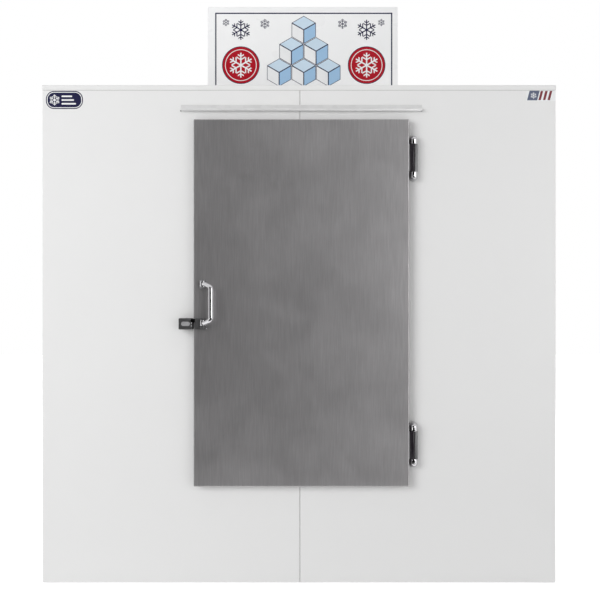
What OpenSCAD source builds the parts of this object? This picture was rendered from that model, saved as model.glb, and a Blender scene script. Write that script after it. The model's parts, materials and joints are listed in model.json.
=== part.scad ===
// Merchandiser freezer for bagged ice: an insulated cabinet with one hinged door in its front,
// a blank header sign on the roof, a fan-coil cooler under the ceiling and a condensing unit
// behind a louvred panel in the base.
//
// Millimetres, +Z up. The front faces -Y and the door's hinges are on the +X side.
// In the modules, Y = 0 is the outer face of the front skins and +Y runs towards the back.
// in_frame() then moves each piece, so that the origin is the middle of the whole footprint,
// on the floor.

/* [Cabinet] */
// Width over the side skins
cab_w = 2134; // [1800:2:2600]
// Depth over the front and back skins
cab_d = 1524; // [1300:2:1900]
// Height to the top of the roof cap
cab_h = 2069; // [1800:1:2400]
// Thickness of the insulated walls
wall_t = 80; // [65:1:110]
// Thickness of the insulated roof
roof_t = 100; // [70:1:140]
// Thickness of the insulated floor
floor_t = 90; // [60:1:110]
// Height of the machine compartment, from the ground to the insulated floor
base_h = 285; // [275:1:300]
// Sheet thickness of the outer skins
skin_t = 1.2; // [0.8:0.1:2]
// Sheet thickness of the inner liners
liner_t = 1; // [0.6:0.1:1.6]
// Gap that the skins leave above the ground
skin_lift = 2; // [1:0.5:8]

/* [Front joint] */
// Distance of the joint between the two front skins from the centre line
seam_x = 4; // [-60:1:60]
// Width of that joint
seam_gap = 3; // [2:0.5:6]
// Depth of the folded edges beside the joint
seam_fold = 12; // [6:1:25]

/* [Roof cap] */
// Sheet thickness of the roof cap
cap_t = 1.5; // [1:0.1:2.5]
// Height of the lip that laps over the skins
cap_lip = 20; // [12:1:40]
// Gap between the lip and the skins
cap_gap = 0.4; // [0.2:0.1:1]

/* [Header sign] */
// Width of the sign board
sign_w = 829; // [500:1:1400]
// Height of the sign board
sign_h = 386; // [200:1:500]
// Thickness of the sign board
sign_t = 8; // [4:1:20]
// Distance of the sign's middle from the centre line
sign_x = 16; // [-150:1:150]
// Distance of the sign behind the front face
sign_setback = 250; // [60:1:600]
// Width of each sign bracket
bracket_w = 40; // [25:1:60]

/* [Door] */
// Width of the door
door_w = 888; // [760:1:1000]
// Distance of the door's top edge below the roof
door_drop = 148; // [130:1:500]
// Distance of the door's middle from the centre line
door_x = 10; // [-60:1:60]
// Height of the door's bottom edge above the ground
door_z = 407; // [400:1:415]
// Distance of the door's front face from the front skins
door_proud = 48; // [44:1:60]
// How far the door laps over the doorway on every side
overlap = 42; // [40:1:60]
// Gap behind the door's lap, which the gasket fills
gasket_gap = 10; // [8:0.5:12]
// How far the door's plug reaches into the doorway
plug_depth = 45; // [30:1:60]
// Gap between the plug and the doorway
plug_gap = 10; // [8:1:14]
// Radius of the door's corners, seen from the front
door_corner_r = 6; // [4:0.5:15]
// Bend radius round the door's front edges
door_edge_r = 4; // [2:0.5:8]

/* [Hinges] */
// Height of each hinge
hinge_h = 189; // [150:1:230]
// Width of each hinge's foot on the cabinet
hinge_w = 38; // [36:1:50]
// Radius of the hinge barrels
barrel_r = 11.5; // [10:0.5:14]
// Height of the fixed knuckle at each end of a hinge
knuckle_h = 37; // [28:1:45]
// Radius of the hinge pins
pin_r = 4; // [3:0.5:5]
// Distance of the hinge axis outside the door's edge
hinge_out = 14.5; // [14:0.5:20]
// Distance of the hinge axis behind the door's front face
hinge_back = 12; // [12:0.5:16]
// Distance of the upper hinge's middle below the door's top edge
hinge_top_inset = 158; // [130:1:300]
// Distance of the lower hinge's middle above the door's bottom edge
hinge_low_inset = 170; // [130:1:300]

/* [Latch and lock] */
// Height of the latch's middle above the door's bottom edge
latch_rise = 671; // [500:1:900]
// Width of the keeper on the cabinet
keeper_w = 57; // [50:1:80]
// Height of the keeper on the cabinet
keeper_h = 46; // [44:1:60]
// Gap between the keeper and the door's edge
keeper_gap = 4; // [3:0.5:6]
// How far the keeper stands in front of the door's face
keeper_proud = 12; // [11:0.5:15]
// Width of the latch case on the door
case_w = 45.5; // [45:0.5:60]
// Height of the latch case on the door
case_h = 45; // [44:1:60]
// How far the latch case stands in front of the door's face
case_proud = 16; // [15:0.5:20]
// Radius of the key plug
plug_r = 5.5; // [4.5:0.25:5.5]
// Travel of the lock bolt
bolt_travel = 15; // [12:0.5:16]

/* [Pull handle] */
// How far the handle reaches out from the door's face
handle_reach = 58; // [50:1:80]
// Distance between the handle's two pivots
handle_span = 160; // [120:1:220]
// Sideways offset of the grip from the pivots
handle_offset = 35.5; // [25:0.5:45]
// How much nearer the middle each end of the grip is than its pivot
handle_slope = 12; // [0:1:20]
// Radius of the grip
grip_r = 11; // [9:0.5:11]

/* [Drip rail] */
// Length of the drip rail over the door
rail_l = 1002; // [800:1:1200]
// Height of the drip rail's lower edge above the door
rail_rise = 39; // [30:1:50]
// Height of the drip rail
rail_h = 27; // [20:1:32]
// How far the drip rail stands out from the front
rail_out = 22; // [15:1:35]

/* [Cooler under the ceiling] */
// Width of the cooler's housing
evap_w = 1000; // [900:10:1200]
// Depth of the cooler's housing
evap_d = 340; // [300:5:400]
// Height of the cooler's housing
evap_h = 250; // [240:5:300]
// Radius of each cooler fan
evap_fan_r = 95; // [80:1:100]

/* [Floor racks] */
// Width of each slat
slat_w = 44; // [30:1:60]
// Thickness of the slats
slat_t = 10; // [6:1:20]
// Height of the runners under the slats
runner_h = 26; // [15:1:40]
// Width of each runner
runner_w = 24; // [15:1:40]
// Gap beside each rack
rack_gap = 40; // [20:1:80]

/* [Condensing unit] */
// Radius of the compressor's shell
comp_r = 88; // [75:1:95]
// Height of the compressor's shell
comp_h = 172; // [150:1:175]
// Length of the condenser coil
cond_w = 380; // [300:5:400]
// Radius of the condenser fan
cond_fan_r = 76; // [60:1:78]
// Outer radius of the drain tube
drain_r = 11; // [8:0.5:14]

/* [Hidden] */
$fn = 48;

// Overall places
front_out = door_proud + handle_reach;
rear_out = 18;
x_out = cab_w / 2;
x_in = x_out - wall_t;
y_in0 = wall_t;
y_in1 = cab_d - wall_t;
z_floor = base_h + floor_t;
z_ceil = cab_h - roof_t;
z_skin = cab_h - cap_t;
seam_r = 3;
side_lap = 30;
foam_x = x_out - skin_t;

// Doorway
door_x0 = door_x - door_w / 2;
door_x1 = door_x + door_w / 2;
door_z1 = cab_h - door_drop;
open_x0 = door_x0 + overlap;
open_x1 = door_x1 - overlap;
open_z0 = door_z + overlap;
open_z1 = door_z1 - overlap;
jamb_t = 3;
jamb_face = 1.5;
jamb_lap = 32;

// Hinge axis
hinge_x = door_x1 + hinge_out;
hinge_y = hinge_back - door_proud;
hinge_z = [door_z1 - hinge_top_inset, door_z + hinge_low_inset];
leaf_t = hinge_out - barrel_r;
leaf_gap = 0.8;

// Latch, lock and handle
latch_z = door_z + latch_rise;
case_x0 = door_x0 + 6.5;
case_x1 = case_x0 + case_w;
case_y = -door_proud - case_proud;
pivot_x = case_x1 - 13.5;
pivot_y = -door_proud - 16;
pivot_r = 12;
handle_z0 = latch_z + 3.5;
handle_z1 = handle_z0 + handle_span;
grip_x = pivot_x + handle_offset;
grip_y = grip_r - front_out;
finger_r = 12;
tongue_z1 = latch_z + 20.2;
tongue_reach = 7.5;
keeper_x1 = door_x0 - keeper_gap;
keeper_x0 = keeper_x1 - keeper_w;
keeper_y = -door_proud - keeper_proud;
lock_y = -door_proud - 6.8;
lock_z = latch_z - 15.5;

// Base
skid_w = 40;
skid_h = 50;
post_w = 40;
deck_t = 2;
deck_z = skid_h + deck_t;
skid_x = x_out - 40;
rear_open_x = 450;
rear_open_z0 = 62;
rear_open_z1 = 268;

// Condensing unit
comp_x = -230;
comp_y = cab_d - 234;
cond_x0 = 40;
cond_d = 44;
cond_z0 = deck_z + 6;
cond_h = 180;
fan_x = cond_x0 + cond_w / 2;
fan_z = cond_z0 + cond_h / 2;
suction_r = 9;
liquid_r = 5;
line_y = y_in1 - 22;
cond_y = line_y - 11;
suction_x = -540;
liquid_x = -566;

// Cooler
evap_y1 = y_in1 - 60;
evap_y0 = evap_y1 - evap_d;
evap_z1 = z_ceil - 30;
evap_z0 = evap_z1 - evap_h;
evap_fan_x = evap_w / 4;
evap_fan_z = evap_z0 + evap_h / 2;
drain_x = evap_w / 2 + 60;
pan_out = 12;
pan_h = 24;

// Thermostat in the storage room, on the right wall
control_y = 360;
control_z = z_ceil - 309;
control_d = 55;

// Lamp
lamp_y = y_in0 + 340;

module in_frame() {
    translate([0, (front_out - cab_d - rear_out) / 2, 0]) children();
}

// A box between two opposite corners
module block(a, b) {
    translate(a) cube(b - a);
}

// A round bar from point a, in direction d (a unit vector), of length l
module bar(a, d, r, l) {
    translate(a) rotate([0, acos(d[2]), atan2(d[1], d[0])]) cylinder(r = r, h = l);
}

module x_bar(x0, x1, y, z, r) {
    translate([x0, y, z]) rotate([0, 90, 0]) cylinder(r = r, h = x1 - x0);
}

module y_bar(x, y0, y1, z, r) {
    translate([x, y0, z]) rotate([-90, 0, 0]) cylinder(r = r, h = y1 - y0);
}

module z_bar(x, y, z0, z1, r) {
    translate([x, y, z0]) cylinder(r = r, h = z1 - z0);
}

// A rectangle with round corners, in its own plane
module round_rect(a, b, r) {
    translate([a[0] + r, a[1]]) square([b[0] - a[0] - 2 * r, b[1] - a[1]]);
    translate([a[0], a[1] + r]) square([b[0] - a[0], b[1] - a[1] - 2 * r]);
    for (x = [a[0] + r, b[0] - r], y = [a[1] + r, b[1] - r]) translate([x, y]) circle(r);
}

// Stands a drawing of X and Z up as a plate that runs from y0 to y1
module upright(y0, y1) {
    translate([0, y1, 0]) rotate([90, 0, 0]) linear_extrude(y1 - y0) children();
}

// Runs a drawing of Y and Z from x0 to x1
module sideways(x0, x1) {
    translate([x0, 0, 0]) rotate([90, 0, 90]) linear_extrude(x1 - x0) children();
}

// A ring between two rectangles in X and Z
module window_ring(a, b, inner_a, inner_b, y0, y1, r = 0) {
    upright(y0, y1) difference() {
        if (r > 0) round_rect(a, b, r); else translate(a) square(b - a);
        translate(inner_a) square(inner_b - inner_a);
    }
}

// The doorway, widened by g on each side, from y0 to y1
module doorway_cut(g, y0, y1) {
    block([open_x0 - g, y0, open_z0 - g], [open_x1 + g, y1, open_z1 + g]);
}

// Rectangles with two round corners: at the low second and at the low first coordinate
module soft_low(u0, u1, v0, v1, r) {
    translate([u0 + r, v0]) square([u1 - u0 - 2 * r, v1 - v0]);
    translate([u0, v0 + r]) square([u1 - u0, v1 - v0 - r]);
    for (u = [u0 + r, u1 - r]) translate([u, v0 + r]) circle(r);
}

module soft_left(u0, u1, v0, v1, r) {
    translate([u0 + r, v0]) square([u1 - u0 - r, v1 - v0]);
    translate([u0, v0 + r]) square([u1 - u0, v1 - v0 - 2 * r]);
    for (v = [v0 + r, v1 - r]) translate([u0 + r, v]) circle(r);
}

// A box whose corners are round seen from the front and whose front edges are round too
module pan_solid(a, b, corner_r, edge_r) {
    intersection() {
        upright(a[1], b[1]) round_rect([a[0], a[2]], [b[0], b[2]], corner_r);
        translate([0, 0, a[2]]) linear_extrude(b[2] - a[2])
            soft_low(a[0], b[0], a[1], b[1], edge_r);
        sideways(a[0], b[0]) soft_left(a[1], b[1], a[2], b[2], edge_r);
    }
}

// Sheet metal in plan: a face from xa to xb with folded edges that run la and lb back
module folded_plan(xa, xb, la, lb, t, r) {
    translate([xa + r, 0]) square([xb - xa - 2 * r, t]);
    translate([xa, r]) square([t, la - r]);
    translate([xb - t, r]) square([t, lb - r]);
    translate([xa + r, r]) bend_corner(t, r);
    translate([xb - r, r]) mirror([1, 0]) bend_corner(t, r);
}

module bend_corner(t, r) {
    difference() {
        intersection() {
            circle(r);
            translate([-r, -r]) square(r);
        }
        circle(r - t);
    }
}

// A slab's outline in plan, with a small chamfer on each corner
module slab_plan(x0, x1, y0, y1, c) {
    polygon([[x0 + c, y0], [x1 - c, y0], [x1, y0 + c], [x1, y1 - c],
             [x1 - c, y1], [x0 + c, y1], [x0, y1 - c], [x0, y0 + c]]);
}

// A tube of radius r through points, whose turns have bend radius b
function unit(v) = v / norm(v);
function turn(p, i) = acos(unit(p[i] - p[i - 1]) * unit(p[i + 1] - p[i]));
module bent_tube(p, r, b) {
    n = len(p);
    for (i = [0:n - 2]) {
        u = unit(p[i + 1] - p[i]);
        start = (i == 0) ? 0 : b * tan(turn(p, i) / 2);
        finish = (i == n - 2) ? 0 : b * tan(turn(p, i + 1) / 2);
        bar(p[i] + u * start, u, r, norm(p[i + 1] - p[i]) - start - finish);
    }
    if (n > 2) for (i = [1:n - 2]) elbow(p[i], unit(p[i] - p[i - 1]), unit(p[i + 1] - p[i]), r, b);
}

module elbow(p, u, v, r, b) {
    a = acos(u * v);
    n = unit(v - u * (u * v));
    c = p - u * b * tan(a / 2) + n * b;
    w = cross(-n, u);
    multmatrix([[-n[0], u[0], w[0], c[0]],
                [-n[1], u[1], w[1], c[1]],
                [-n[2], u[2], w[2], c[2]],
                [0, 0, 0, 1]])
        rotate_extrude(angle = a) translate([b, 0]) circle(r);
}

// Bars of radius r between points, with a ball at each turn
module ball_jointed(p, r) {
    n = len(p);
    for (i = [0:n - 2]) bar(p[i], unit(p[i + 1] - p[i]), r, norm(p[i + 1] - p[i]));
    for (i = [1:n - 2]) translate(p[i]) sphere(r + 0.3);
}

// A fan that turns about Y, seen from its own middle
module fan_wheel(r_tip, r_hub, depth, bore_r, blades, pitch) {
    difference() {
        union() {
            y_bar(0, -depth / 2, depth / 2, 0, r_hub);
            intersection() {
                y_bar(0, -depth / 2, depth / 2, 0, r_tip);
                for (i = [0:blades - 1]) rotate([0, i * 360 / blades, 0])
                    translate([r_hub - 3, 0, 0]) rotate([pitch, 0, 0])
                        block([0, -1, -r_tip * 0.34], [r_tip, 1, r_tip * 0.34]);
            }
        }
        y_bar(0, -depth / 2 - 1, depth / 2 + 1, 0, bore_r);
    }
}

// A motor of length l behind the origin, whose shaft reaches s forwards, towards -Y
module fan_motor(l, r, shaft_r, s) {
    y_bar(0, 0, l, 0, r);
    y_bar(0, -6, 0, 0, r * 0.45);
    y_bar(0, -s, -6, 0, shaft_r);
}

// A rectangular tube along Y
module box_tube(a, b, t) {
    difference() {
        block(a, b);
        block([a[0] + t, a[1] - 1, a[2] + t], [b[0] - t, b[1] + 1, b[2] - t]);
    }
}

// Base
module post(x, y) {
    difference() {
        block([x - post_w / 2, y - post_w / 2, skid_h], [x + post_w / 2, y + post_w / 2, base_h - 40]);
        block([x - post_w / 2 + 3, y - post_w / 2 + 3, skid_h - 1],
              [x + post_w / 2 - 3, y + post_w / 2 - 3, base_h]);
    }
}

module base_frame() {
    color("dimgray") in_frame() for (x = [-skid_x, 0, skid_x]) {
        box_tube([x - skid_w / 2, 20, 0], [x + skid_w / 2, cab_d - 20, skid_h], 3);
        box_tube([x - post_w / 2, 20, base_h - 40], [x + post_w / 2, cab_d - 20, base_h], 3);
        for (y = [60, cab_d / 2]) post(x, y);
        if (x != 0) post(x, cab_d - 60);
    }
}

module base_deck() {
    color("silver") in_frame() difference() {
        translate([0, 0, skid_h]) linear_extrude(deck_t)
            slab_plan(-foam_x, foam_x, skin_t, cab_d - skin_t, 2);
        for (x = [-skid_x, 0, skid_x], y = [60, cab_d / 2, cab_d - 60]) if (x != 0 || y < cab_d - 60)
            block([x - post_w / 2 - 1, y - post_w / 2 - 1, 0], [x + post_w / 2 + 1, y + post_w / 2 + 1, 60]);
        z_bar(drain_x, line_y, skid_h - 5, deck_z + 5, drain_r + 1);
        seam_slot();
    }
}

module floor_holes(g) {
    z0 = base_h - 10;
    z1 = z_floor + 10;
    z_bar(drain_x, line_y, z0, z1, drain_r + g);
    z_bar(suction_x, line_y, z0, z1, suction_r + g);
    z_bar(liquid_x, line_y, z0, z1, liquid_r + g);
}

module floor_pan() {
    color("silver") in_frame() difference() {
        translate([0, 0, base_h]) linear_extrude(skin_t)
            slab_plan(-foam_x, foam_x, skin_t, cab_d - skin_t, 2);
        floor_holes(0.5);
        seam_slot();
    }
}

// Room for the folded edges beside the front joint
module seam_slot() {
    w = seam_gap / 2 + skin_t;
    c = seam_r - 1;
    linear_extrude(cab_h) translate([seam_x, 0])
        polygon([[-w - c, -1], [w + c, -1], [w + c, skin_t], [w, skin_t + c], [w, seam_fold],
                 [-w, seam_fold], [-w, skin_t + c], [-w - c, skin_t]]);
}

// Outer skins
module front_skin(xa, xb, la, lb) {
    color("white") in_frame() difference() {
        translate([0, 0, skin_lift]) linear_extrude(z_skin - skin_lift)
            folded_plan(xa, xb, la, lb, skin_t, seam_r);
        doorway_cut(jamb_t, -1, 40);
    }
}

module front_skin_left() {
    front_skin(-x_out, seam_x - seam_gap / 2, side_lap, seam_fold);
}

module front_skin_right() {
    front_skin(seam_x + seam_gap / 2, x_out, seam_fold, side_lap);
}

module side_skin(x) {
    color("white") in_frame()
        block([x, side_lap + 0.5, skin_lift], [x + skin_t, cab_d - side_lap - 0.5, z_skin]);
}

module side_skin_left() {
    side_skin(-x_out);
}

module side_skin_right() {
    side_skin(foam_x);
}

module back_skin() {
    color("white") in_frame() difference() {
        translate([0, cab_d, skin_lift]) linear_extrude(z_skin - skin_lift)
            mirror([0, 1]) folded_plan(-x_out, x_out, side_lap, side_lap, skin_t, seam_r);
        block([-rear_open_x, cab_d - 5, rear_open_z0], [rear_open_x, cab_d + 5, rear_open_z1]);
        panel_screw_places() y_bar(0, cab_d - 5, cab_d + 5, 0, 2.2);
        y_bar(gland_x, cab_d - 5, cab_d + 5, gland_z, gland_r + 0.3);
    }
}

module roof_cap() {
    e = cap_gap + cap_t;
    color("white") in_frame() difference() {
        intersection() {
            translate([0, 0, cab_h - cap_lip]) linear_extrude(cap_lip)
                round_rect([-x_out - e, -e], [x_out + e, cab_d + e], 5);
            sideways(-x_out - e, x_out + e) translate([0, cab_h]) mirror([0, 1])
                soft_low(-e, cab_d + e, 0, cap_lip, 3);
            upright(-e, cab_d + e) translate([0, cab_h]) mirror([0, 1])
                soft_low(-x_out - e, x_out + e, 0, cap_lip, 3);
        }
        translate([0, 0, z_skin - cap_lip]) linear_extrude(cap_lip)
            round_rect([-x_out - cap_gap, -cap_gap], [x_out + cap_gap, cab_d + cap_gap], 3.4);
    }
}

// Insulation
module foam_front() {
    color("khaki") in_frame() difference() {
        translate([0, 0, z_floor - liner_t]) linear_extrude(z_ceil - z_floor + 2 * liner_t)
            slab_plan(-foam_x, foam_x, skin_t, wall_t - liner_t, 2);
        doorway_cut(jamb_t, -1, wall_t + 1);
        seam_slot();
    }
}

module foam_walls() {
    color("khaki") in_frame()
        translate([0, 0, z_floor - liner_t]) linear_extrude(z_ceil - z_floor + 2 * liner_t) difference() {
            slab_plan(-foam_x, foam_x, wall_t - liner_t, cab_d - skin_t, 2);
            translate([-x_in - liner_t, 0]) square([2 * (x_in + liner_t), y_in1 + liner_t]);
        }
}

module foam_roof() {
    color("khaki") in_frame() difference() {
        translate([0, 0, z_ceil + liner_t]) linear_extrude(z_skin - z_ceil - liner_t)
            slab_plan(-foam_x, foam_x, skin_t, cab_d - skin_t, 2);
        seam_slot();
    }
}

module foam_floor() {
    color("khaki") in_frame() difference() {
        translate([0, 0, base_h + skin_t]) linear_extrude(floor_t - skin_t - liner_t)
            slab_plan(-foam_x, foam_x, skin_t, cab_d - skin_t, 2);
        floor_holes(0.5);
        seam_slot();
    }
}

// Inner liners
module liner_front() {
    color("gainsboro") in_frame() difference() {
        block([-x_in, wall_t - liner_t, z_floor - liner_t], [x_in, wall_t, z_ceil + liner_t]);
        doorway_cut(jamb_t, 0, wall_t + 1);
    }
}

module liner_walls() {
    color("gainsboro") in_frame()
        translate([0, 0, z_floor - liner_t]) linear_extrude(z_ceil - z_floor + 2 * liner_t) difference() {
            translate([-x_in - liner_t, wall_t - liner_t])
                square([2 * (x_in + liner_t), y_in1 - wall_t + 2 * liner_t]);
            translate([-x_in, 0]) square([2 * x_in, y_in1]);
        }
}

module liner_ceiling() {
    color("gainsboro") in_frame() block([-x_in, y_in0, z_ceil], [x_in, y_in1, z_ceil + liner_t]);
}

module liner_floor() {
    color("gainsboro") in_frame() difference() {
        block([-x_in, y_in0, z_floor - liner_t], [x_in, y_in1, z_floor]);
        floor_holes(0.5);
    }
}

// Lining of the doorway, with a flange on the front and one on the inner face
module door_jamb() {
    g = jamb_t;
    color("lightgray") in_frame() {
        window_ring([open_x0 - g, open_z0 - g], [open_x1 + g, open_z1 + g],
            [open_x0, open_z0], [open_x1, open_z1], 0, wall_t);
        window_ring([open_x0 - jamb_lap, open_z0 - jamb_lap], [open_x1 + jamb_lap, open_z1 + jamb_lap],
            [open_x0, open_z0], [open_x1, open_z1], -jamb_face, 0);
        window_ring([open_x0 - 22, open_z0 - 22], [open_x1 + 22, open_z1 + 22],
            [open_x0, open_z0], [open_x1, open_z1], wall_t, wall_t + 1.5);
    }
}

module drip_rail() {
    z = door_z1 + rail_rise;
    color("silver") in_frame() {
        sideways(door_x - rail_l / 2, door_x + rail_l / 2) {
            translate([-2, z + 9]) square([2, rail_h - 9]);
            translate([-rail_out, z + 9]) square([rail_out, 2]);
            translate([-rail_out, z]) square([2, 11]);
            translate([-rail_out, z]) square([6, 1.6]);
        }
        for (x = [door_x - rail_l / 2, door_x + rail_l / 2 - 2])
            block([x, -rail_out, z + 2.5], [x + 2, 0, z + 11]);
    }
}

// Header sign
module sign_panel() {
    color("white") in_frame() block([sign_x - sign_w / 2, sign_setback, cab_h],
        [sign_x + sign_w / 2, sign_setback + sign_t, cab_h + sign_h]);
}

module sign_brackets() {
    y = sign_setback + sign_t;
    color("silver") in_frame() for (k = [-0.36, 0, 0.36]) {
        x = sign_x + k * sign_w - bracket_w / 2;
        block([x, y, cab_h], [x + bracket_w, y + 110, cab_h + 3]);
        block([x, y, cab_h], [x + bracket_w, y + 3, cab_h + sign_h * 0.8]);
        sideways(x, x + 3) polygon([[y, cab_h], [y + 100, cab_h], [y, cab_h + sign_h * 0.6]]);
    }
}

// Louvred panel over the condensing unit
gland_x = -620;
gland_z = 150;
gland_r = 11;
module panel_screw_places() {
    for (x = [-rear_open_x - 9, -150, 150, rear_open_x + 9], z = [rear_open_z0 - 7, rear_open_z1 + 7])
        translate([x, 0, z]) children();
    for (x = [-rear_open_x - 9, rear_open_x + 9])
        translate([x, 0, (rear_open_z0 + rear_open_z1) / 2]) children();
}

module rear_panel() {
    z0 = rear_open_z0 - 14;
    z1 = rear_open_z1 + 14;
    color("lightgray") in_frame() {
        difference() {
            block([-rear_open_x - 18, cab_d, z0], [rear_open_x + 18, cab_d + 1.5, z1]);
            for (x = [-420, 30], k = [0:6])
                block([x, cab_d - 1, 82 + k * 26], [x + 390, cab_d + 3, 92 + k * 26]);
            panel_screw_places() y_bar(0, cab_d - 1, cab_d + 3, 0, 2.2);
        }
        for (x = [-420, 30], k = [0:6]) translate([0, cab_d, 82 + k * 26])
            sideways(x, x + 390) polygon([[1.5, 12], [1.5, 10], [8, 0], [9.4, 0]]);
    }
}

module panel_screws() {
    color("silver") in_frame() panel_screw_places() {
        y_bar(0, cab_d - 9, cab_d + 1.5, 0, 1.9);
        difference() {
            y_bar(0, cab_d + 1.5, cab_d + 4, 0, 4.5);
            block([-3.6, cab_d + 3, -0.5], [3.6, cab_d + 5, 0.5]);
            block([-0.5, cab_d + 3, -3.6], [0.5, cab_d + 5, 3.6]);
        }
    }
}

// Condensing unit
module compressor() {
    z0 = deck_z + 12;
    r = 40;
    color("black") in_frame() {
        translate([comp_x, comp_y, z0]) rotate_extrude() difference() {
            union() {
                translate([0, 0]) square([comp_r - r, comp_h]);
                translate([0, r]) square([comp_r, comp_h - 2 * r]);
                for (z = [r, comp_h - r]) translate([comp_r - r, z]) circle(r);
            }
            translate([-comp_r, -1]) square([comp_r, comp_h + 2]);
        }
        z_bar(comp_x, comp_y, z0 + comp_h / 2 - 2, z0 + comp_h / 2 + 2, comp_r + 3);
        for (i = [0:2]) translate([comp_x, comp_y, z0]) rotate(90 + 120 * i)
            block([comp_r - 45, -16, 0], [comp_r + 20, 16, 4]);
        x_bar(comp_x - comp_r - 12, comp_x - comp_r + 4, comp_y, z0 + 120, suction_r + 2);
        x_bar(comp_x + comp_r - 4, comp_x + comp_r + 12, comp_y, z0 + 120, liquid_r + 2);
        block([comp_x - 30, comp_y - comp_r - 22, z0 + 50], [comp_x + 30, comp_y - comp_r + 6, z0 + 110]);
    }
}

module compressor_mounts() {
    color("black") in_frame() for (i = [0:2]) translate([comp_x, comp_y, deck_z]) rotate(90 + 120 * i)
        translate([comp_r + 8, 0, 0]) difference() {
            cylinder(r = 11, h = 12);
            translate([0, 0, -1]) cylinder(r = 4, h = 14);
        }
}

// Fins on rows of tubes that run along X
module finned_coil(x0, x1, y0, y1, z0, z1, pitch, fin_t, rows, cols, r) {
    for (x = [x0:pitch:x1 - fin_t]) block([x, y0, z0], [x + fin_t, y1, z1]);
    dz = (z1 - z0) / rows;
    dy = (y1 - y0) / cols;
    for (i = [0:rows - 1], j = [0:cols - 1]) x_bar(x0 - 8, x1 + 8, y0 + (j + 0.5) * dy, z0 + (i + 0.5) * dz, r);
    for (i = [0:rows - 2], j = [0:cols - 1]) {
        k = (i % 2 == 0) ? 1 : -1;
        x = (i % 2 == 0) ? x1 + 8 : x0 - 8;
        multmatrix([[0, k, 0, x],
                    [0, 0, -k, y0 + (j + 0.5) * dy],
                    [-1, 0, 0, z0 + (i + 1) * dz],
                    [0, 0, 0, 1]])
            rotate_extrude(angle = 180) translate([dz / 2, 0]) circle(r);
    }
}

module condenser_coil() {
    color("silver") in_frame() {
        finned_coil(cond_x0 + 10, cond_x0 + cond_w - 10, cond_y, cond_y + cond_d,
            cond_z0, cond_z0 + cond_h, 9, 0.8, 6, 2, 4.5);
        for (x = [cond_x0 + 8, cond_x0 + cond_w - 10])
            block([x, cond_y - 1, cond_z0 - 6], [x + 2, cond_y + cond_d + 1, cond_z0 + cond_h]);
    }
}

module fan_shroud() {
    y0 = cond_y - 32;
    y1 = cond_y - 1.2;
    color("dimgray") in_frame() difference() {
        union() {
            difference() {
                block([cond_x0 + 12, y0, cond_z0], [cond_x0 + cond_w - 12, y1, cond_z0 + cond_h]);
                block([cond_x0 + 14, y0 + 2, cond_z0 + 2], [cond_x0 + cond_w - 14, y1 + 1, cond_z0 + cond_h - 2]);
            }
            y_bar(fan_x, y0 - 12, y0 + 2, fan_z, cond_fan_r + 6);
        }
        y_bar(fan_x, y0 - 13, y0 + 3, fan_z, cond_fan_r + 4);
    }
}

module condenser_fan_motor() {
    y0 = cond_y - 78;
    l = 52;
    w = cond_fan_r + 16;
    color("black") in_frame() {
        translate([fan_x, y0, fan_z]) mirror([0, 1, 0]) fan_motor(l, 34, 3, 44);
        block([fan_x - w, y0 - l - 3, fan_z - 12], [fan_x + w, y0 - l, fan_z + 12]);
        for (k = [-1, 1]) translate([fan_x + k * (w - 1.5), 0, fan_z])
            block([-1.5, y0 - l - 3, -12], [1.5, cond_y - 32, 12]);
    }
}

module condenser_fan() {
    color("silver") in_frame() translate([fan_x, cond_y - 36, fan_z])
        fan_wheel(cond_fan_r, 22, 26, 3.3, 5, 28);
}

module refrigerant_lines() {
    z = deck_z + 132;
    low = cond_z0 + cond_h / 12;
    high = cond_z0 + cond_h * 11 / 12;
    up = evap_z0 + 0.6 * evap_h;
    in_y = line_y - 120;
    side = -evap_w / 2;
    coil_end = cond_x0 + 2;
    color("peru") in_frame() {
        bent_tube([[comp_x - comp_r - 12, comp_y, z], [suction_x, comp_y, z], [suction_x, line_y, z],
            [suction_x, line_y, up], [suction_x, in_y, up], [side, in_y, up]], suction_r, 20);
        bent_tube([[coil_end, line_y, low], [liquid_x, line_y, low], [liquid_x, line_y, up + 40],
            [liquid_x, in_y, up + 40], [side, in_y, up + 40]], liquid_r, 15);
        bent_tube([[comp_x + comp_r + 12, comp_y, z], [0, comp_y, z], [0, comp_y, high],
            [0, line_y, high], [coil_end, line_y, high]], liquid_r, 15);
        x_bar(comp_x + 50, comp_x + 140, line_y, low, 14);
    }
}

// Cooler in the storage room
module evaporator_housing() {
    x = evap_w / 2;
    color("gainsboro") in_frame() {
        difference() {
            block([-x, evap_y0, evap_z0], [x, evap_y1, evap_z1]);
            block([-x + 1.5, evap_y0 + 1.5, evap_z0 - 1], [x - 1.5, evap_y1 + 1, evap_z1 - 1.5]);
            for (k = [-1, 1]) y_bar(k * evap_fan_x, evap_y0 - 1, evap_y0 + 2, evap_fan_z, evap_fan_r + 6);
        }
        for (k = [-1, 1], y = [evap_y0 + 40, evap_y1 - 70])
            translate([k * (x - 40), y, evap_z1]) sideways(-15, 15) {
                square([30, 3]);
                square([3, z_ceil - evap_z1]);
                translate([0, z_ceil - evap_z1 - 3]) square([30, 3]);
            }
    }
}

module evaporator_coil() {
    x = evap_w / 2 - 40;
    y0 = evap_y0 + evap_d / 2;
    y1 = evap_y1 - 25;
    color("silver") in_frame() {
        finned_coil(-x, x, y0, y1, evap_z0 + 14, evap_z1 - 22, 20, 0.8, 5, 3, 5);
        for (k = [-1, 1]) translate([k * (x + 2), 0, 0])
            block([-1, y0 - 4, evap_z0], [1, y1 + 4, evap_z1 - 1.5]);
    }
}

module evaporator_fan_motors() {
    color("black") in_frame() for (k = [-1, 1]) translate([k * evap_fan_x, evap_y0 + 62, evap_fan_z]) {
        fan_motor(56, 36, 3, 54);
        block([-14, 56, -evap_h / 2 + 6], [14, 59, evap_h / 2 - 1.5]);
    }
}

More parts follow.
